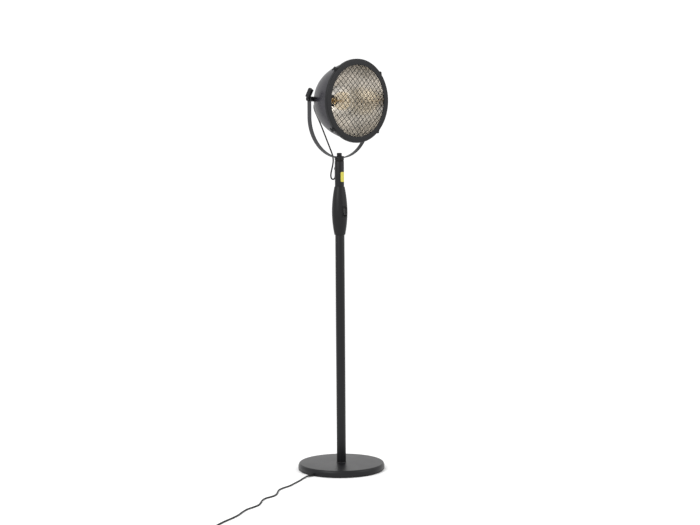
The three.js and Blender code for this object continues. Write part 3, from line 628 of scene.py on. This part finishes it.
def half_shell(name, front):
    """Half of the spindle on a grid of angle and height. Grid lines follow the window's straight
    sides, where the angle is the arcsine of half its width over the radius."""
    edges = (GRIP_LOW, GRIP_MID - WINDOW_H / 2, GRIP_MID + WINDOW_H / 2, GRIP_HIGH)
    z = np.concatenate([np.linspace(a, b, STEPS_UP, endpoint=False) for a, b in zip(edges, edges[1:])]
                       + [[GRIP_HIGH]])[:, None]
    side = np.arcsin(WINDOW_W / 2 / spindle(z))
    stop = np.radians(90) - 0.15 / spindle(z)
    share = np.linspace(0, 1, STEPS_ROUND + 1)
    angle = np.concatenate(((-stop + (stop - side) * share)[:, :-1], (-side + 2 * side * share)[:, :-1],
                            side + (stop - side) * share), axis=1)
    r = spindle(z)
    y = -r * np.cos(angle) if front else r * np.cos(angle)
    grid = np.stack((r * np.sin(angle), y, z + 0 * angle), axis=-1)
    index = np.arange(angle.size).reshape(angle.shape)
    quads = np.stack((index[:-1, :-1], index[:-1, 1:], index[1:, 1:], index[1:, :-1]), axis=-1)
    keep = np.ones(quads.shape[:2], bool)
    if front:
        keep[STEPS_UP:2 * STEPS_UP, STEPS_ROUND:2 * STEPS_ROUND] = False
    else:
        quads = quads[..., ::-1]
    mesh = bpy.data.meshes.new(name)
    mesh.from_pydata((grid.reshape(-1, 3) * MM).tolist(), [], quads[keep].tolist())
    mesh.shade_smooth()
    shell = bpy.data.objects.new(name, mesh)
    bpy.context.scene.collection.objects.link(shell)
    wall = shell.modifiers.new("wall", "SOLIDIFY")
    wall.thickness = GRIP_WALL * MM
    wall.offset = -1
    eased_edges(shell, 0.4, 50)
    return shell


fitted(half_shell("grip_front_half", True), "stand", "black_plastic", SATIN_ABS, "grip_front_shell")
fitted(half_shell("grip_rear_half", False), "stand", "black_plastic", SATIN_ABS, "grip_rear_shell")


def cross_recess_head(radius, head):
    """A domed head with a cross recess pressed in it: the dome's height drops where either slot's
    half width is crossed, by a depth that fades towards the rim."""
    r = np.linspace(0, radius, 14)[:, None]
    a = angles(64)
    x, y = r * np.cos(a), r * np.sin(a)
    narrow = np.minimum(np.abs(x), np.abs(y))
    slot = np.clip((0.16 * radius - narrow) / (0.08 * radius), 0, 1)
    slot = slot * np.clip((0.7 * radius - r) / (0.2 * radius), 0, 1)
    z = head * np.sqrt(np.clip(1 - 0.75 * (r / radius) ** 2, 0, 1)) - 0.55 * head * slot
    return np.concatenate((revolved([(0, 0), (radius, 0)], 64), np.stack((x, y, z), axis=-1)[::-1]))


for i, z in enumerate((GRIP_LOW + 46, GRIP_HIGH - 34)):
    head_at = turn_about("X", -90, (0, spindle(z) - 1.2, z))
    screw_grid = moved(cross_recess_head(2.2, 1.0), head_at)
    screw = surface(f"grip_screw_head_{i + 1}", screw_grid, ends=False, crease=40)
    fitted(screw, "stand", "bright_steel", ZINC, f"grip_screw_{i + 1}")

# Rocker switch: a glossy bezel standing 1.2 mm proud of the housing, with a rocker of two flat
# wings that meet in a shallow V. It tips 20 degrees about a cross pin.
GLOSS_ABS = moulded("moulded_abs_gloss_black", "#09090a", "#121213", 0.08, 0.16, 0.00001)
FRAME_W, FRAME_H, FRAME_LIP = 20.0, 34.0, 1.2
ROCKER_AT = (0, -(GRIP_R - 1.5), GRIP_MID)
ROCKER_W, ROCKER_TILT = 13.6, 10.0


def bezel():
    """A rectangular ring: rounded rectangles stepped from the outer skirt over the lip and down
    into the rocker's well."""
    steps = [(0, -14.0), (0, -0.9), (0.3, -0.3), (0.9, 0), (2.2, 0), (2.6, -0.3), (2.7, -0.9), (2.7, -9.0)]
    rings = []
    for inset, depth in steps:
        w, h = FRAME_W / 2 - inset, FRAME_H / 2 - inset
        x, z = rounded([(-w, -h), (w, -h), (w, h), (-w, h)], 1.6 - 0.3 * inset, 6).T
        rings.append(np.column_stack((x, np.full(len(x), -(GRIP_R + FRAME_LIP) - depth), GRIP_MID + z)))
    return np.stack(rings)


def rocker_body():
    """The side outline of the rocker, rounded, carried across its width; the outermost two
    sections shrink towards its middle to ease the side edges."""
    outline = rounded([(-12.4, -1.5), (0, -4), (12.4, -1.5), (12.4, 3.9), (0, 2.6), (-12.4, 3.9)],
                      [0.8, 2, 0.8, 1.2, 5, 1.2], 8)
    inwards = np.array((0, 0.3, 0.6))
    across = np.concatenate((inwards - ROCKER_W / 2, (ROCKER_W / 2 - inwards)[::-1]))[:, None]
    shrink = np.array((0.93, 0.98, 1.0, 1.0, 0.98, 0.93))[:, None]
    along, out = outline[:, 0] * shrink, outline[:, 1] * shrink
    grid = np.stack((across + 0 * along, -out, along), axis=-1)
    return moved(grid, turn_about("X", -ROCKER_TILT, ROCKER_AT))


switch_frame = surface("switch_bezel", bezel(), closed_rows=True)
fitted(switch_frame, "stand", "gloss_plastic", GLOSS_ABS, "switch_frame")
fitted(surface("rocker_key", rocker_body()), "rocker", "gloss_plastic", GLOSS_ABS, "rocker")


# ---- swivel ------------------------------------------------------------------------------------
# A moulded cap closes the upper tube. On a fibre washer above it turns a round saddle, whose
# groove holds the yoke, and one domed socket-head bolt clamps the stack.

SADDLE_TOP, YOKE_BOTTOM, STRIP_T, STRIP_W = 1086.0, 1079.0, 3.0, 18.0
BOLT_BORE = 4.3
cap_low, cap_high = heights("pole_upper")[1] + 0.3, heights("pole_top_cap")[1]
cap = turned("pole_cap_moulded", rounded([(BOLT_BORE, cap_low), (POLE_R, cap_low), (POLE_R, cap_high),
                                          (BOLT_BORE, cap_high)], [0, 0.5, 1.2, 0], 6))
fitted(cap, "stand", "black_plastic", SATIN_ABS, "pole_top_cap")


# Vulcanised fibre: a black-brown, dull, with a faint paper fibre.
def vulcanised_fibre():
    made, tree, shader, place = new_finish("vulcanised_fibre")
    strand = node(tree, "ShaderNodeTexNoise", {"Scale": 1 / 0.0012, "Detail": 4.0}, [("Vector", place)])
    shade = node(tree, "ShaderNodeMix", {"data_type": "RGBA", 6: linear("#14100e"), 7: linear("#241b17")},
                 [(0, strand)])
    node(tree, shader, {"Roughness": 0.75}, [("Base Color", shade)])
    return made


FIBRE = vulcanised_fibre()
washer_low, washer_high = heights("swivel_washer")
fibre_ring = turned("swivel_fibre_ring", tube_profile(BOLT_BORE, POLE_R - 1.5, washer_low, washer_high, 0.2))
fitted(fibre_ring, "stand", "fibre", FIBRE, "swivel_washer")


def saddle_block():
    """A round post whose top is cut by a groove along X: on a grid of angle and height, points
    above the groove's floor are drawn down to it where |y| would fall inside the groove."""
    low = washer_high + 0.3
    half = STRIP_W / 2 + 0.3
    floor_z = YOKE_BOTTOM - 0.3
    radius = np.concatenate(([0.01, 14.9], np.full(8, POLE_R), [15.3, 14.8, 12, 9.5, 6, 0.01]))
    height = np.concatenate(([low, low, low + 0.8, low + 3], np.linspace(low + 4, SADDLE_TOP - 1.2, 6),
                             [SADDLE_TOP - 0.3], np.full(5, SADDLE_TOP)))
    grid = revolved(np.stack((radius, height), axis=1), 128)
    inside = np.clip((half + 0.35 - np.abs(grid[..., 1])) / 0.7, 0, 1)
    grid[..., 2] -= np.clip(grid[..., 2] - floor_z, 0, None) * inside
    return grid


fitted(surface("yoke_saddle_moulded", saddle_block()), "yoke", "black_plastic", SATIN_ABS, "yoke_saddle")


def socket_bolt(name, radius, low, high, socket, depth, at, body, cad):
    """A domed round head with a hexagon socket: the rings from the socket's edge down follow
    r = s cos 30 / cos(angle from the nearest flat)."""
    a = angles(96)
    flat = socket * np.cos(np.pi / 6) / np.cos((a + np.pi / 6) % (np.pi / 3) - np.pi / 6)
    rim = rounded([(0, low), (radius, low), (radius, high - 0.8), (radius * 0.84, high),
                   (socket * 1.15, high)], [0, 0.3, 0.8, 1.4, 0], 6)
    r = np.concatenate((rim[:, :1] + 0 * a, [flat, flat * 0.98, flat * 0]))
    z = np.concatenate((rim[:, 1], (high - 0.1, high - depth, high - depth)))[:, None]
    grid = np.stack((r * np.cos(a), r * np.sin(a), z + 0 * r), axis=-1)
    fitted(surface(name, moved(grid, at), ends=False), body, "powder_black", POWDER_BLACK, cad)


socket_bolt("swivel_bolt_head", 8.7, YOKE_BOTTOM + STRIP_T + 0.6, 1097, 3.4, 3.5, None, "yoke", "swivel_bolt")


# ---- yoke --------------------------------------------------------------------------------------
# One 18 x 3 mm steel strip bent to a U, with rounded ends and eased edges, graphite powder coated.

YOKE_R, STRIP_EASE = 135.0, 0.7
PIVOT_Z = sum(heights("pivot_stud_left")) / 2


def yoke_strip():
    """The middle line runs up one arm, round the half circle and up the other. The section is a
    rounded 18 x 3 rectangle, whose half width over the pivot is that of a circle of radius 9."""
    mid_r = YOKE_R - STRIP_T / 2
    centre_z = YOKE_BOTTOM + YOKE_R
    end = PIVOT_Z + STRIP_W / 2 * np.sin(np.linspace(0, np.pi / 2, 16))
    rise = np.concatenate((np.linspace(centre_z, PIVOT_Z, 12)[:-1], end))
    a = np.radians(np.linspace(180, 360, 121))
    arm = np.stack((np.full_like(rise, -mid_r), 0 * rise, rise), axis=1)
    bend = np.stack((mid_r * np.cos(a), 0 * a, centre_z + mid_r * np.sin(a)), axis=1)
    line = np.vstack((arm[::-1][:-1], bend, (arm * (-1, 1, 1))[1:]))
    over = np.clip(line[:, 2] - PIVOT_Z, 0, STRIP_W / 2)
    half_w = np.sqrt(np.clip((STRIP_W / 2) ** 2 - over**2, 1e-4, None))[:, None]
    reach = np.minimum(STRIP_EASE, half_w)
    corner = np.radians(np.linspace(0, 90, 5))
    quarter = np.stack((np.cos(corner), np.sin(corner)), axis=1)
    section = []
    for wide, high, turn in ((1, 1, quarter), (-1, 1, quarter[:, ::-1] * (-1, 1)), (-1, -1, -quarter),
                             (1, -1, quarter[:, ::-1] * (1, -1))):
        y = wide * (half_w - reach) + turn[:, 0] * reach
        n = high * (STRIP_T / 2 - STRIP_EASE) + turn[:, 1] * STRIP_EASE
        section.append(np.stack((y, n + 0 * y), axis=-1))
    return swept(line, np.concatenate(section, axis=1), (0, 1, 0))


POWDER_YOKE = powder_coat("powder_coat_graphite", "#2b2b2d", "#3a3a3d", 0.4, 0.54)
fitted(surface("yoke_strip_bent", yoke_strip()), "yoke", "powder_yoke", POWDER_YOKE, "yoke")


# ---- shade and reflector -----------------------------------------------------------------------
# The head is a half ellipsoid spun from 1.6 mm sheet, powder coated outside, with a thinner spun
# aluminium reflector nested inside it. It is built about its own axis, then tilted 4 degrees.

HEAD_TILT = 4.0
HEAD = turn_about("X", 90 + HEAD_TILT, (0, 0, PIVOT_Z))
DOME_R, DOME_DEPTH, DOME_FRONT, NECK_R = 131.0, 160.0, 88.0, 5.2
APEX = DOME_FRONT - DOME_DEPTH
SHEET_T = 1.6


def spun(name, outer, inner, lip):
    """A spun skin between two insets from the half ellipse r = R cos t, z = front - D sin t, which
    runs from the rim to the bore. Its rim follows the lip's (radius, depth) points."""
    skins = []
    for inset in (outer, inner):
        radius, depth = DOME_R - inset, DOME_DEPTH - inset
        t = np.linspace(0, np.arccos(NECK_R / radius), 64)
        skins.append(np.stack((radius * np.cos(t), DOME_FRONT - depth * np.sin(t)), axis=1))
    return turned(name, np.vstack((skins[0][::-1], lip, skins[1])), 192, HEAD)


# The shade's rim is turned out into a narrow flange that the ring seats on. Its coat is the stand's
# black powder coat drawn smoother, in a paler, more violet colour that is painted sheen.
flange = [(DOME_R + 5.8, DOME_FRONT), (DOME_R + 6.4, DOME_FRONT + SHEET_T / 2),
          (DOME_R + 5.8, DOME_FRONT + SHEET_T), (DOME_R, DOME_FRONT + SHEET_T)]
# Painted sheen: a paler, more violet copy of the black powder coat, with a stronger specular.
POWDER_SHADE_PAINTED_SHEEN = powder_coat("powder_coat_black_painted_sheen", "#1a191f", "#28262d", 0.32, 0.44, 0.45)
fitted(spun("shade_shell_spun", 0.0, SHEET_T, flange), "head", "powder_black", POWDER_SHADE_PAINTED_SHEEN, "shade_shell")


# Spun aluminium: a bright satin skin with fine rings left by the spinning roller, about 2 mm
# apart. Its colour turns warmer towards the neck: a painted reflection of the bulb's amber glass and brass
# cap.
def spun_aluminium():
    made, tree, shader, place = new_finish("spun_aluminium_satin")
    along = node(tree, "ShaderNodeMapping", {"vector_type": "TEXTURE", "Location": (0, 0, PIVOT_Z * MM),
                 "Rotation": (np.radians(90 + HEAD_TILT), 0, 0)}, [("Vector", place)])
    wave = node(tree, "ShaderNodeTexWave", {"bands_direction": "Z", "Scale": 1 / 0.002 / 20,
                "Distortion": 1.5, "Detail": 3.0}, [("Vector", along)])
    rings = wave.outputs["Fac"]
    cloud = node(tree, "ShaderNodeTexNoise", {"Scale": 1 / 0.07, "Detail": 3.0}, [("Vector", along)])
    depth = node(tree, "ShaderNodeSeparateXYZ", {}, [("Vector", along)]).outputs["Z"]
    # Painted reflection: the base colour warms from the front towards the neck, around the bulb.
    painted_reflection_fade = node(tree, "ShaderNodeMapRange", {"From Min": APEX * MM, "From Max": DOME_FRONT * MM},
                  [("Value", depth)])
    painted_reflection_tone = node(tree, "ShaderNodeMix", {"data_type": "RGBA", 6: linear("#f0e6d6"), 7: linear("#f4f4f5")},
                [(0, painted_reflection_fade)])
    stain = node(tree, "ShaderNodeMapRange",
                 {"From Min": 0.42, "From Max": 0.6, "To Min": 0.0, "To Max": 0.8}, [("Value", cloud)])
    shade = node(tree, "ShaderNodeMix", {"data_type": "RGBA", 7: linear("#cfccc6")}, [(0, stain), (6, painted_reflection_tone)])
    gloss = node(tree, "ShaderNodeMapRange", {"To Min": 0.17, "To Max": 0.28}, [("Value", rings)])
    bump = node(tree, "ShaderNodeBump", {"Strength": 0.3, "Distance": 0.0001}, [("Height", rings)])
    node(tree, shader, {"Metallic": 0.92}, [("Base Color", shade), ("Roughness", gloss), ("Normal", bump)])
    return made


mirror = spun("reflector_spun", 2.1, 3.1, [(DOME_R - 2.6, DOME_FRONT + 0.3)])
fitted(mirror, "head", "satin_aluminium", spun_aluminium(), "reflector")


# ---- lampholder and bulb -----------------------------------------------------------------------
# A black thermoset holder is clamped at the neck by a hollow nipple and nut. It carries a round
# amber bulb with a brass screw cap, a glass stem and a long zigzag filament.

HOLDER_BACK = APEX + 6.2
CAP_BACK = HOLDER_BACK + 15
NECK_FRONT = CAP_BACK + 25.3
GLOBE_R, GLOBE_Z, GLASS_WALL = 32.0, NECK_FRONT + 42, 0.8
CAP_R, THREAD_PITCH, FILAMENT_R = 12.35, 3.6, 5.5

holder_line = rounded([(NECK_R, HOLDER_BACK), (16, HOLDER_BACK), (19.5, HOLDER_BACK + 6),
                       (19.5, HOLDER_BACK + 38), (14.4, HOLDER_BACK + 38), (14.4, HOLDER_BACK + 14),
                       (NECK_R, HOLDER_BACK + 11)], [0, 1.5, 1.5, 1, 0.8, 0.5, 0], 6)
holder = turned("lampholder_thermoset", holder_line, 96, HEAD)
fitted(holder, "head", "black_plastic", SATIN_ABS, "lampholder")


def screw_cap():
    """A rounded screw thread: the radius swells by a cosine of height over pitch minus the turn,
    and fades out at both ends. A stepped nose closes it at the back."""
    z = np.linspace(CAP_BACK + 5, CAP_BACK + 25, 90)[:, None]
    a = angles(64)
    fade = np.clip((z - CAP_BACK - 5) / 2, 0, 1) * np.clip((CAP_BACK + 23.5 - z) / 2, 0, 1)
    r = CAP_R + 0.6 * fade * np.cos(2 * np.pi * (z - CAP_BACK) / THREAD_PITCH - a)
    thread = np.stack((r * np.cos(a), r * np.sin(a), z + 0 * a), axis=-1)
    nose = revolved([(0, CAP_BACK), (4.4, CAP_BACK), (5, CAP_BACK + 0.6), (8, CAP_BACK + 3.5),
                     (11.6, CAP_BACK + 4.6)], 64)
    return moved(np.concatenate((nose, thread)), HEAD)


BRASS = metal("drawn_brass", "#9c8458", "#bda57c", 0.2, 0.34, 4.0)
fitted(surface("bulb_screw_cap", screw_cap()), "head", "brass", BRASS, "bulb_cap")


def envelope(inset):
    """The neck sweeps by a cubic into the globe, which is a circle from 56 degrees below its middle
    to its crown."""
    a = np.radians(np.linspace(-56, 90, 48))
    globe = np.stack(((GLOBE_R - inset) * np.cos(a), GLOBE_Z + (GLOBE_R - inset) * np.sin(a)), axis=1)
    globe[-1, 0] = 0
    t = np.linspace(0, 1, 16)[:-1, None]
    foot = np.array((12.6 - inset, NECK_FRONT))
    rise = foot + (0, 7)
    meet = globe[0] - np.array((-np.sin(a[0]), np.cos(a[0]))) * 7
    neck = (1 - t) ** 3 * foot + 3 * t * (1 - t) ** 2 * rise + 3 * t**2 * (1 - t) * meet + t**3 * globe[0]
    return np.vstack((neck, globe))


# Amber-lacquered glass: clear thin glass with a pale warm tint that clouds a little over 30 mm.
def amber_glass():
    made, tree, shader, place = new_finish("amber_lacquered_glass")
    cloud = node(tree, "ShaderNodeTexNoise", {"Scale": 1 / 0.03, "Detail": 2.0}, [("Vector", place)])
    shade = node(tree, "ShaderNodeMix", {"data_type": "RGBA", 6: linear("#fdf7ea"), 7: linear("#fffbf4")},
                 [(0, cloud)])
    node(tree, shader, {"Transmission Weight": 1.0, "Roughness": 0.03, "IOR": 1.45}, [("Base Color", shade)])
    return made


glass = turned("bulb_envelope", np.vstack((envelope(0), envelope(GLASS_WALL)[::-1])), 96, HEAD)
fitted(glass, "head", "amber_glass", amber_glass(), "bulb_glass")


def filament_line():
    """A zigzag wound round a cylinder: the height runs up and down ten times as the angle goes
    once round."""
    t = np.linspace(0, 1, 401)
    swing = np.abs((t * 10) % 2 - 1)
    a = 2 * np.pi * t * 0.98
    return np.stack((FILAMENT_R * np.cos(a), FILAMENT_R * np.sin(a), NECK_FRONT + 22 + 26 * swing), axis=1)


# The wire's section stays square to the cylinder: its sideways direction is the radius.
wire_line = filament_line()
radial = wire_line * (1, 1, 0) / FILAMENT_R
stem_line = rounded([(0, NECK_FRONT - 1), (5, NECK_FRONT - 1), (3.4, NECK_FRONT + 16), (1.2, NECK_FRONT + 20),
                     (1.0, NECK_FRONT + 49), (0, NECK_FRONT + 49)], [0, 0.5, 4, 2, 0.4, 0], 5)
filament = surface("bulb_filament_cage", moved(swept(wire_line, circle(0.35, 6), radial), HEAD),
                   moved(revolved(stem_line, 24), HEAD))
fitted(filament, "head", "brass", BRASS, "bulb_filament")

# Behind the neck: a locking nut and the boot that leads the upper cord out.
NUT_BACK = APEX - 6.2


def hexagon_nut(low, high):
    """Rounded hexagons stepped from a chamfered foot to a chamfered top."""
    steps = [(0.0, low), (0.93, low), (1.0, low + 0.7), (1.0, high - 0.7), (0.93, high), (0.0, high)]
    loop = rounded(circle(9, 6), 1.0, 4)
    return moved(np.stack([np.column_stack((loop * k, np.full(len(loop), z))) for k, z in steps]), HEAD)


nut = surface("rear_lock_nut", hexagon_nut(NUT_BACK, APEX - 0.1), ends=False)
fitted(nut, "head", "powder_black", POWDER_BLACK, "rear_nut")
rear_boot_line = boot_profile(root=7.4, tip=3.4, length=22.8, collar=7.9, ribs=5)
rear_boot = turned("rear_cord_boot_ribbed", rear_boot_line, 48, HEAD @ turn_about("X", 180, (0, 0, NUT_BACK)),
                   closed=False)
fitted(rear_boot, "head", "cord_rubber", PVC, "rear_cord_boot")


# ---- pivots and clamp lever --------------------------------------------------------------------
# A steel sleeve is welded to each side of the shade. A washer and a bolt hold it to the yoke's
# right arm; on the left a stud takes a moulded clamp lever that locks the tilt.

ARM_IN = YOKE_R - STRIP_T
SLEEVE_R, SLEEVE_BORE = 8.5, 4.4


def pivot_sleeve(sign):
    """The foot follows the dome, x = sqrt(r(z)^2 - y^2), and flares by a weld fillet; the outer
    end's rim is eased and the bore runs back to the foot."""
    a = angles(64)
    end = ARM_IN - 1.6

    def on_dome(radius, out):
        y, z = radius * np.cos(a), radius * np.sin(a)
        r = DOME_R * np.sqrt(1 - ((DOME_FRONT - z) / DOME_DEPTH) ** 2)
        return np.stack((sign * (np.sqrt(r**2 - y**2) + out), y, z), axis=-1)

    def at_x(radius, x):
        return np.stack((np.full_like(a, sign * x), radius * np.cos(a), radius * np.sin(a)), axis=-1)

    rings = [on_dome(11.0, -0.5), on_dome(10.6, 0.5), on_dome(9.4, 1.3), on_dome(SLEEVE_R, 2.8),
             at_x(SLEEVE_R, end - 0.8), at_x(SLEEVE_R - 0.2, end - 0.2), at_x(SLEEVE_R - 0.8, end),
             at_x(SLEEVE_BORE, end), on_dome(SLEEVE_BORE, -0.5)]
    return moved(np.stack(rings), HEAD)


for side, sign in (("left", -1), ("right", 1)):
    sleeve = surface(f"pivot_sleeve_{side}", pivot_sleeve(sign), closed_rows=True)
    fitted(sleeve, "head", "powder_black", POWDER_BLACK, f"pivot_boss_{side}")
    disc_line = tube_profile(SLEEVE_BORE, 9, ARM_IN - 1.3, ARM_IN - 0.3, 0.2)
    disc = turned(f"pivot_disc_{side}", disc_line, 64, HEAD @ turn_about("Y", 90 * sign))
    fitted(disc, "head", "fibre", FIBRE, f"pivot_washer_{side}")

# The stud is drawn up to the arm's inner face and on from its outer face.
for name, corners, radii in (
        ("pivot_stud_head", [(0, 95), (7, 95), (7, 99.5), (4, 99.5), (4, ARM_IN - 0.1), (0, ARM_IN - 0.1)],
         [0, 0.5, 0.5, 0, 0, 0]),
        ("pivot_stud_end", [(0, YOKE_R + 0.1), (4, YOKE_R + 0.1), (4, YOKE_R + 6.5), (0, YOKE_R + 6.5)],
         [0, 0, 0.8, 0])):
    stud = turned(name, rounded(corners, radii), 48, HEAD @ turn_about("Y", -90), closed=False)
    fitted(stud, "head", "bright_steel", POWDER_BLACK, "pivot_stud_left")
socket_bolt("pivot_bolt_domed", 8, YOKE_R + 0.3, YOKE_R + 6, 2.9, 3.0, HEAD @ turn_about("Y", 90), "head",
            "pivot_bolt_right")

LEVER = turn_about("X", 35, (-(YOKE_R + 0.3), 0, PIVOT_Z)) @ turn_about("Y", -90) @ turn_about("Z", -90)
HUB_R, HUB_H, LEVER_END, LEVER_T = 8.0, 7.0, 38.0, 12.0


def lever_bar():
    """A short square-ended bar with rounded corners, carried through its thickness; the outer
    sections are drawn in towards its middle to ease both rims."""
    outline = rounded([(-7.6, 4.6), (-HUB_R, LEVER_END), (HUB_R, LEVER_END), (7.6, 4.6)], 2.4, 6)
    middle = np.array((0, 21))
    low, high = 2.0, 2.0 + LEVER_T
    steps = ((0.0, low), (0.92, low), (0.97, low + 0.3), (1.0, low + 1.2), (1.0, high - 1.4),
             (0.97, high - 0.5), (0.92, high), (0.0, high))
    return np.stack([np.column_stack((middle + (outline - middle) * k, np.full(len(outline), z)))
                     for k, z in steps])


hub_line = rounded([(SLEEVE_BORE, 0), (HUB_R, 0), (HUB_R, HUB_H), (SLEEVE_BORE, HUB_H)],
                   [0, 0.5, 1.2, 0.5], 6)
for piece in (turned("clamp_lever_hub", hub_line, 96, LEVER),
              surface("clamp_lever_bar", moved(lever_bar(), LEVER), ends=False)):
    fitted(piece, "clamp_lever", "black_plastic", SATIN_ABS, "clamp_lever")


# ---- front ring, grille and clips --------------------------------------------------------------
# A pressed steel ring holds a grille of 1.7 mm wire, crimped and woven over and under at 14.4 mm
# on the diagonal and slightly domed. Four bent clips, each with a screw, grip the ring's edge.

RING_R, RING_BORE, RING_FRONT, RING_DEPTH, RING_T = 141.0, 121.0, 99.0, 11.0, 2.5
RING_REAR = RING_FRONT - RING_DEPTH
ring_line = rounded([(RING_BORE, RING_FRONT - 2.6), (RING_R - RING_T, RING_FRONT - 2.6),
                     (RING_R - RING_T, RING_REAR), (RING_R, RING_REAR), (RING_R, RING_FRONT),
                     (RING_BORE, RING_FRONT)], [0.6, 1, 0.5, 0.5, 3.2, 1.0], 8)
fitted(turned("front_ring_pressed", ring_line, 256, HEAD), "head", "powder_black", POWDER_BLACK, "front_ring")

PITCH, WIRE_R, CROWN, GRILLE_R, GRILLE_Z = 14.4, 0.85, 11.0, 125.5, 93.6


def woven_wire(number, direction):
    """A wire at a whole number of pitches from the middle. Its height is the crown's parabola plus
    a cosine that peaks at each crossing, up for even crossings of one set and down for the other."""
    offset = number * PITCH
    reach = np.sqrt(GRILLE_R**2 - offset**2)
    s = np.linspace(-reach, reach, int(2 * reach / 2.4) + 1)
    crown = CROWN * (1 - (s**2 + offset**2) / GRILLE_R**2)
    weave = direction * (-1) ** number * WIRE_R * np.cos(np.pi * s / PITCH)
    line = np.stack((s, np.full_like(s, offset), GRILLE_Z + crown + weave), axis=1)
    turn = turn_about("Z", 45 * direction)
    return moved(swept(moved(line, turn), circle(WIRE_R, 8), np.array(turn.to_3x3()) @ (0, 1, 0)), HEAD)


count = int(GRILLE_R / PITCH)
wires = [woven_wire(k, d) for d in (1, -1) for k in range(-count, count + 1)]
hoop = revolved(circle(1.5, 12) + (GRILLE_R, GRILLE_Z), 192)
hoop = moved(np.concatenate((hoop, hoop[:1])), HEAD)
grille = surface("wire_grille_woven", *wires, hoop, ends=False, crease=60)
fitted(grille, "head", "powder_black", POWDER_BLACK, "wire_grille")

CLIP_W = 13.0
fold = rounded([(RING_R + 0.3, RING_REAR + 1), (RING_R + 0.3, RING_FRONT - 1), (RING_R + 2, RING_FRONT - 1),
                (RING_R + 2, RING_REAR + 1.2), (RING_R + 6.5, RING_REAR - 2.2), (RING_R + 6, RING_REAR - 6.5),
                (RING_R - 1, RING_REAR - 12), (RING_R - 2.2, RING_REAR - 10.8),
                (RING_R + 4.4, RING_REAR - 5.6), (RING_R + 4.7, RING_REAR - 3)], 0.7)
strip = np.stack([np.column_stack((fold[:, 0], np.full(len(fold), y), fold[:, 1]))
                  for y in np.linspace(-CLIP_W / 2, CLIP_W / 2, 5)])
for i, angle in enumerate((45, 135, 225, 315)):
    place = HEAD @ turn_about("Z", angle)
    clip = surface(f"ring_clip_bent_{i + 1}", moved(strip, place))
    eased_edges(clip, 0.25, 30)
    fitted(clip, "head", "powder_black", POWDER_BLACK, f"ring_clip_{i + 1}")
    socket_bolt(f"clip_screw_head_{i + 1}", 4.3, RING_R + 2.3, RING_R + 5, 2.0, 1.6,
                place @ turn_about("Y", 90, (0, 0, RING_FRONT - 5)), "head", f"clip_screw_{i + 1}")


# ---- parts inside ------------------------------------------------------------------------------
# The iron weight, the steel hardware and the switch's terminal body keep their plain shapes.


# Sand-cast iron: dark grey, rough, with a skin of coarse grains about 2 mm across.
def cast_iron():
    made, tree, shader, place = new_finish("sand_cast_iron")
    sand = node(tree, "ShaderNodeTexNoise", {"Scale": 1 / 0.002, "Detail": 6.0}, [("Vector", place)])
    shade = node(tree, "ShaderNodeMix", {"data_type": "RGBA", 6: linear("#3a3938"), 7: linear("#5b5855")},
                 [(0, sand)])
    bump = node(tree, "ShaderNodeBump", {"Strength": 0.6, "Distance": 0.0004}, [("Height", sand)])
    node(tree, shader, {"Metallic": 0.6, "Roughness": 0.75}, [("Base Color", shade), ("Normal", bump)])
    return made


inside = {"base_weight": cast_iron(), "switch_body": SATIN_ABS}
for name in ("base_nipple", "base_nut", "base_washer", "pole_foot_plug", "pole_core_tube", "swivel_nut",
             "rear_nipple"):
    inside[name] = ZINC
for name, material in inside.items():
    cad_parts[name].material_slots[0].material = material
